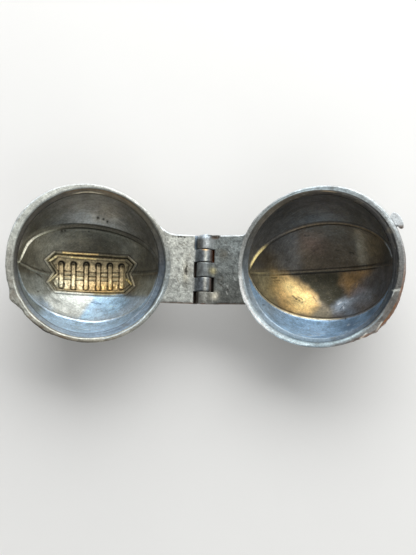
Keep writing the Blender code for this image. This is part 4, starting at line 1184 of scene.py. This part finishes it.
class Shading:
    """A node material, built step by step."""

    def __init__(self, name):
        self.material = bpy.data.materials.new(name)
        self.material.use_nodes = True
        self.tree = self.material.node_tree
        self.shader = self.tree.nodes["Principled BSDF"]
        self.place = self.add("ShaderNodeTexCoord").outputs["Object"]

    def add(self, kind, **settings):
        node = self.tree.nodes.new(kind)
        for key, value in settings.items():
            setattr(node, key, value)
        return node

    def feed(self, node, **values):
        """Set or link a node's inputs; a tuple is a display colour."""
        for key, value in values.items():
            socket = node.inputs[int(key[1:]) if key[1:].isdigit() else key.replace("_", " ")]
            if isinstance(value, bpy.types.NodeSocket):
                self.tree.links.new(value, socket)
            elif isinstance(value, tuple):
                socket.default_value = (*linear(value), 1.0)
            else:
                socket.default_value = value

    def attribute(self, name, output="Fac"):
        return self.add("ShaderNodeAttribute", attribute_name=name).outputs[output]

    def noise(self, size, detail=3.0, roughness=0.6, at=None):
        node = self.add("ShaderNodeTexNoise")
        self.feed(node, Vector=at or self.place, Scale=1.0 / (size * MM), Detail=detail, Roughness=roughness)
        return node.outputs["Fac"]

    def spread(self, value, low, high, to_low=0.0, to_high=1.0):
        node = self.add("ShaderNodeMapRange", interpolation_type="SMOOTHSTEP")
        self.feed(node, Value=value, From_Min=low, From_Max=high, To_Min=to_low, To_Max=to_high)
        return node.outputs["Result"]

    def math(self, operation, first, second):
        node = self.add("ShaderNodeMath", operation=operation)
        self.feed(node, _0=first, _1=second)
        return node.outputs[0]

    def times(self, first, second):
        return self.math("MULTIPLY", first, second)

    def mix(self, share, first, second):
        node = self.add("ShaderNodeMix", data_type="RGBA")
        self.feed(node, Factor=share, _6=first, _7=second)
        return node.outputs[2]

    def scale(self, colour, amount):
        node = self.add("ShaderNodeVectorMath", operation="SCALE")
        self.feed(node, _0=colour, Scale=amount)
        return node.outputs[0]

    def bump(self, height, strength, distance):
        node = self.add("ShaderNodeBump")
        self.feed(node, Strength=strength, Distance=distance * MM, Height=height)
        return node.outputs["Normal"]


def pewter(name, warm=0.12, speck=0.6, turned=False):
    """Old cast pewter: mottled tarnish colours with painted light, pits and specks where it is grainy, and
    darkening by a mask of grime and painted shade in hollows and gaps.
    """
    m = Shading(name)
    grain, soil_and_shade = m.attribute("grain"), m.attribute("soil_and_shade")
    broad = m.spread(m.noise(7.0, 3.0), 0.3, 0.7, 0.84, 1.14)
    fine = m.spread(m.noise(0.9, 4.0, 0.75), 0.3, 0.7, 0.76, 1.22)
    if turned:
        track = m.attribute("track", "Vector")
        fine = m.times(fine, m.spread(m.noise(0.5, 2.0, at=track), 0.3, 0.7, 0.88, 1.12))
    colour = m.scale(m.attribute("patina_and_light", "Color"), m.times(broad, fine))
    if turned:
        scratch = m.times(m.spread(m.noise(0.22, 1.0, at=track), 0.66, 0.76), 0.16)
        colour = m.mix(scratch, colour, (214, 220, 220))
    tarnish = m.times(m.spread(m.noise(4.0, 5.0, 0.65), 0.52, 0.72), warm * 3)
    colour = m.mix(tarnish, colour, (92, 84, 66))
    specks = m.times(m.spread(m.noise(0.5, 3.0, 0.7), 0.6, 0.72), m.times(grain, speck))
    colour = m.mix(specks, colour, (70, 64, 54))
    # Darkening from the mask of grime and painted shade
    hollow = m.times(soil_and_shade, m.spread(m.noise(1.2, 3.0), 0.25, 0.5, 0.75, 1.0))
    colour = m.mix(hollow, colour, (34, 30, 24))
    uneven = m.math("ADD", m.attribute("shine"), m.spread(m.noise(2.5, 4.0), 0.3, 0.7, -0.05, 0.08))
    pits = m.spread(m.noise(0.7, 3.0, 0.65), 0.35, 0.6)
    waves = m.noise(0.35, 2.0)
    height = m.times(m.math("ADD", pits, m.times(waves, 0.5)), grain)
    m.feed(m.shader, Base_Color=colour, Metallic=m.attribute("metal"),
           Roughness=m.math("ADD", uneven, m.times(hollow, 0.25)), Normal=m.bump(height, 0.55, 0.09))
    return m.material


def rusty_iron(name):
    """Rusty iron: scaly brown and orange."""
    m = Shading(name)
    scale = m.spread(m.noise(1.3, 5.0, 0.7), 0.35, 0.65)
    colour = m.mix(scale, (58, 40, 30), (146, 86, 46))
    colour = m.mix(m.spread(m.noise(0.5, 3.0), 0.5, 0.7), colour, (44, 36, 32))
    m.feed(m.shader, Base_Color=colour, Metallic=0.35, Roughness=m.spread(scale, 0.0, 1.0, 0.6, 0.85),
           Normal=m.bump(m.noise(0.6, 4.0, 0.7), 0.7, 0.15))
    return m.material


def make_floor():
    """Plain pale floor with the faintest unevenness, just below the mould."""
    count, half_size, drop = 24, 3000.0, 0.02
    line = np.linspace(-half_size, half_size, count)
    points = stacked(line[:, None], line[None, :], -drop).reshape(-1, 3)
    m = Shading("floor_paper")
    m.feed(m.shader, Base_Color=m.mix(m.noise(40.0, 3.0), (226, 226, 224), (229, 229, 227)),
           Roughness=0.9, Specular_IOR_Level=0.2)
    faces = grid_faces(count, count, wrap=False)
    floor = make_mesh("studio_floor", points, faces, m.material, {}, flip=True)


def area_lamp(name, place, size, power):
    """Rectangular lamp that points at the middle of the mould."""
    target = Vector((0, 0, 0.02))
    lamp = bpy.data.lights.new(name, "AREA")
    lamp.shape = "RECTANGLE"
    lamp.size, lamp.size_y = size
    lamp.energy = power
    item = bpy.data.objects.new(name, lamp)
    item.location = place
    item.rotation_euler = (target - Vector(place)).to_track_quat("-Z", "Y").to_euler()
    bpy.context.scene.collection.objects.link(item)


def make_light():
    """A large soft window to the north-east, a weak fill and an even room."""
    area_lamp("north_window", place=(0.25, 0.82, 0.58), size=(1.6, 1.0), power=21.0)
    area_lamp("south_fill", place=(0.5, -0.9, 0.8), size=(0.9, 0.9), power=2.5)
    world = bpy.data.worlds.new("studio")
    world.use_nodes = True
    background = world.node_tree.nodes["Background"]
    background.inputs["Color"].default_value = (1.0, 1.0, 1.0, 1.0)
    background.inputs["Strength"].default_value = 0.38
    bpy.context.scene.world = world


def make_camera():
    """Camera at the photo's viewing angle: almost overhead, a little from the right and the front."""
    distance, focal, width, sensor = 367.6, 840.0, 416.0, 36.0
    roll, from_right, from_front = (math.radians(angle) for angle in (-0.91, -5.62, -7.0))
    off_right, off_up = -3.8, 10.75
    turn = (Matrix.Rotation(roll, 3, "Z") @ Matrix.Rotation(from_right, 3, "Y")
            @ Matrix.Rotation(from_front, 3, "X")).transposed()
    towards = Vector((off_right, off_up, -focal)).normalized()
    centring = towards.rotation_difference(Vector((0, 0, -1))).to_matrix()
    place = Vector((0, 0, HINGE_HEIGHT)) + turn @ Vector((0, 0, distance))
    lens = bpy.data.cameras.new("photo_camera")
    lens.sensor_fit = "HORIZONTAL"
    lens.sensor_width = sensor
    lens.lens = sensor * focal / width
    lens.clip_start = 0.01
    item = bpy.data.objects.new("photo_camera", lens)
    item.matrix_world = Matrix.Translation(place * MM) @ (turn @ centring).to_4x4()
    bpy.context.scene.collection.objects.link(item)
    bpy.context.scene.camera = item


def dress(piece, body, node):
    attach(piece, body)
    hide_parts(node)


def main():
    bpy.context.scene.view_settings.view_transform = "Standard"
    laced = make_bowl("laced_bowl_pewter", LACED, pewter("pewter_laced_bowl", turned=True),
                      segments=560, cavity_rings=200, fine_share=0.62)
    plain = make_bowl("plain_bowl_pewter", PLAIN, pewter("pewter_plain_bowl", turned=True),
                      segments=440, cavity_rings=130, fine_share=0.5)
    left = make_leaf("laced_leaf_pewter", LACED, pewter("pewter_laced_leaf", warm=0.1, speck=0.7))
    right = make_leaf("plain_leaf_pewter", PLAIN, pewter("pewter_plain_leaf", warm=0.1, speck=0.7))
    pin = make_pin(rusty_iron("rusty_pin"))
    lug = make_lug(pewter("pewter_lug", warm=0.05, speck=0.4))
    dress(laced, "laced_half", "laced_bowl")
    dress(left, "laced_half", "laced_hinge_leaf")
    dress(plain, "plain_half", "plain_bowl")
    dress(right, "plain_half", "plain_hinge_leaf")
    dress(pin, "plain_half", "hinge_pin")
    dress(lug, "plain_half", "thumb_lug")
    make_floor()
    make_light()
    make_camera()


main()
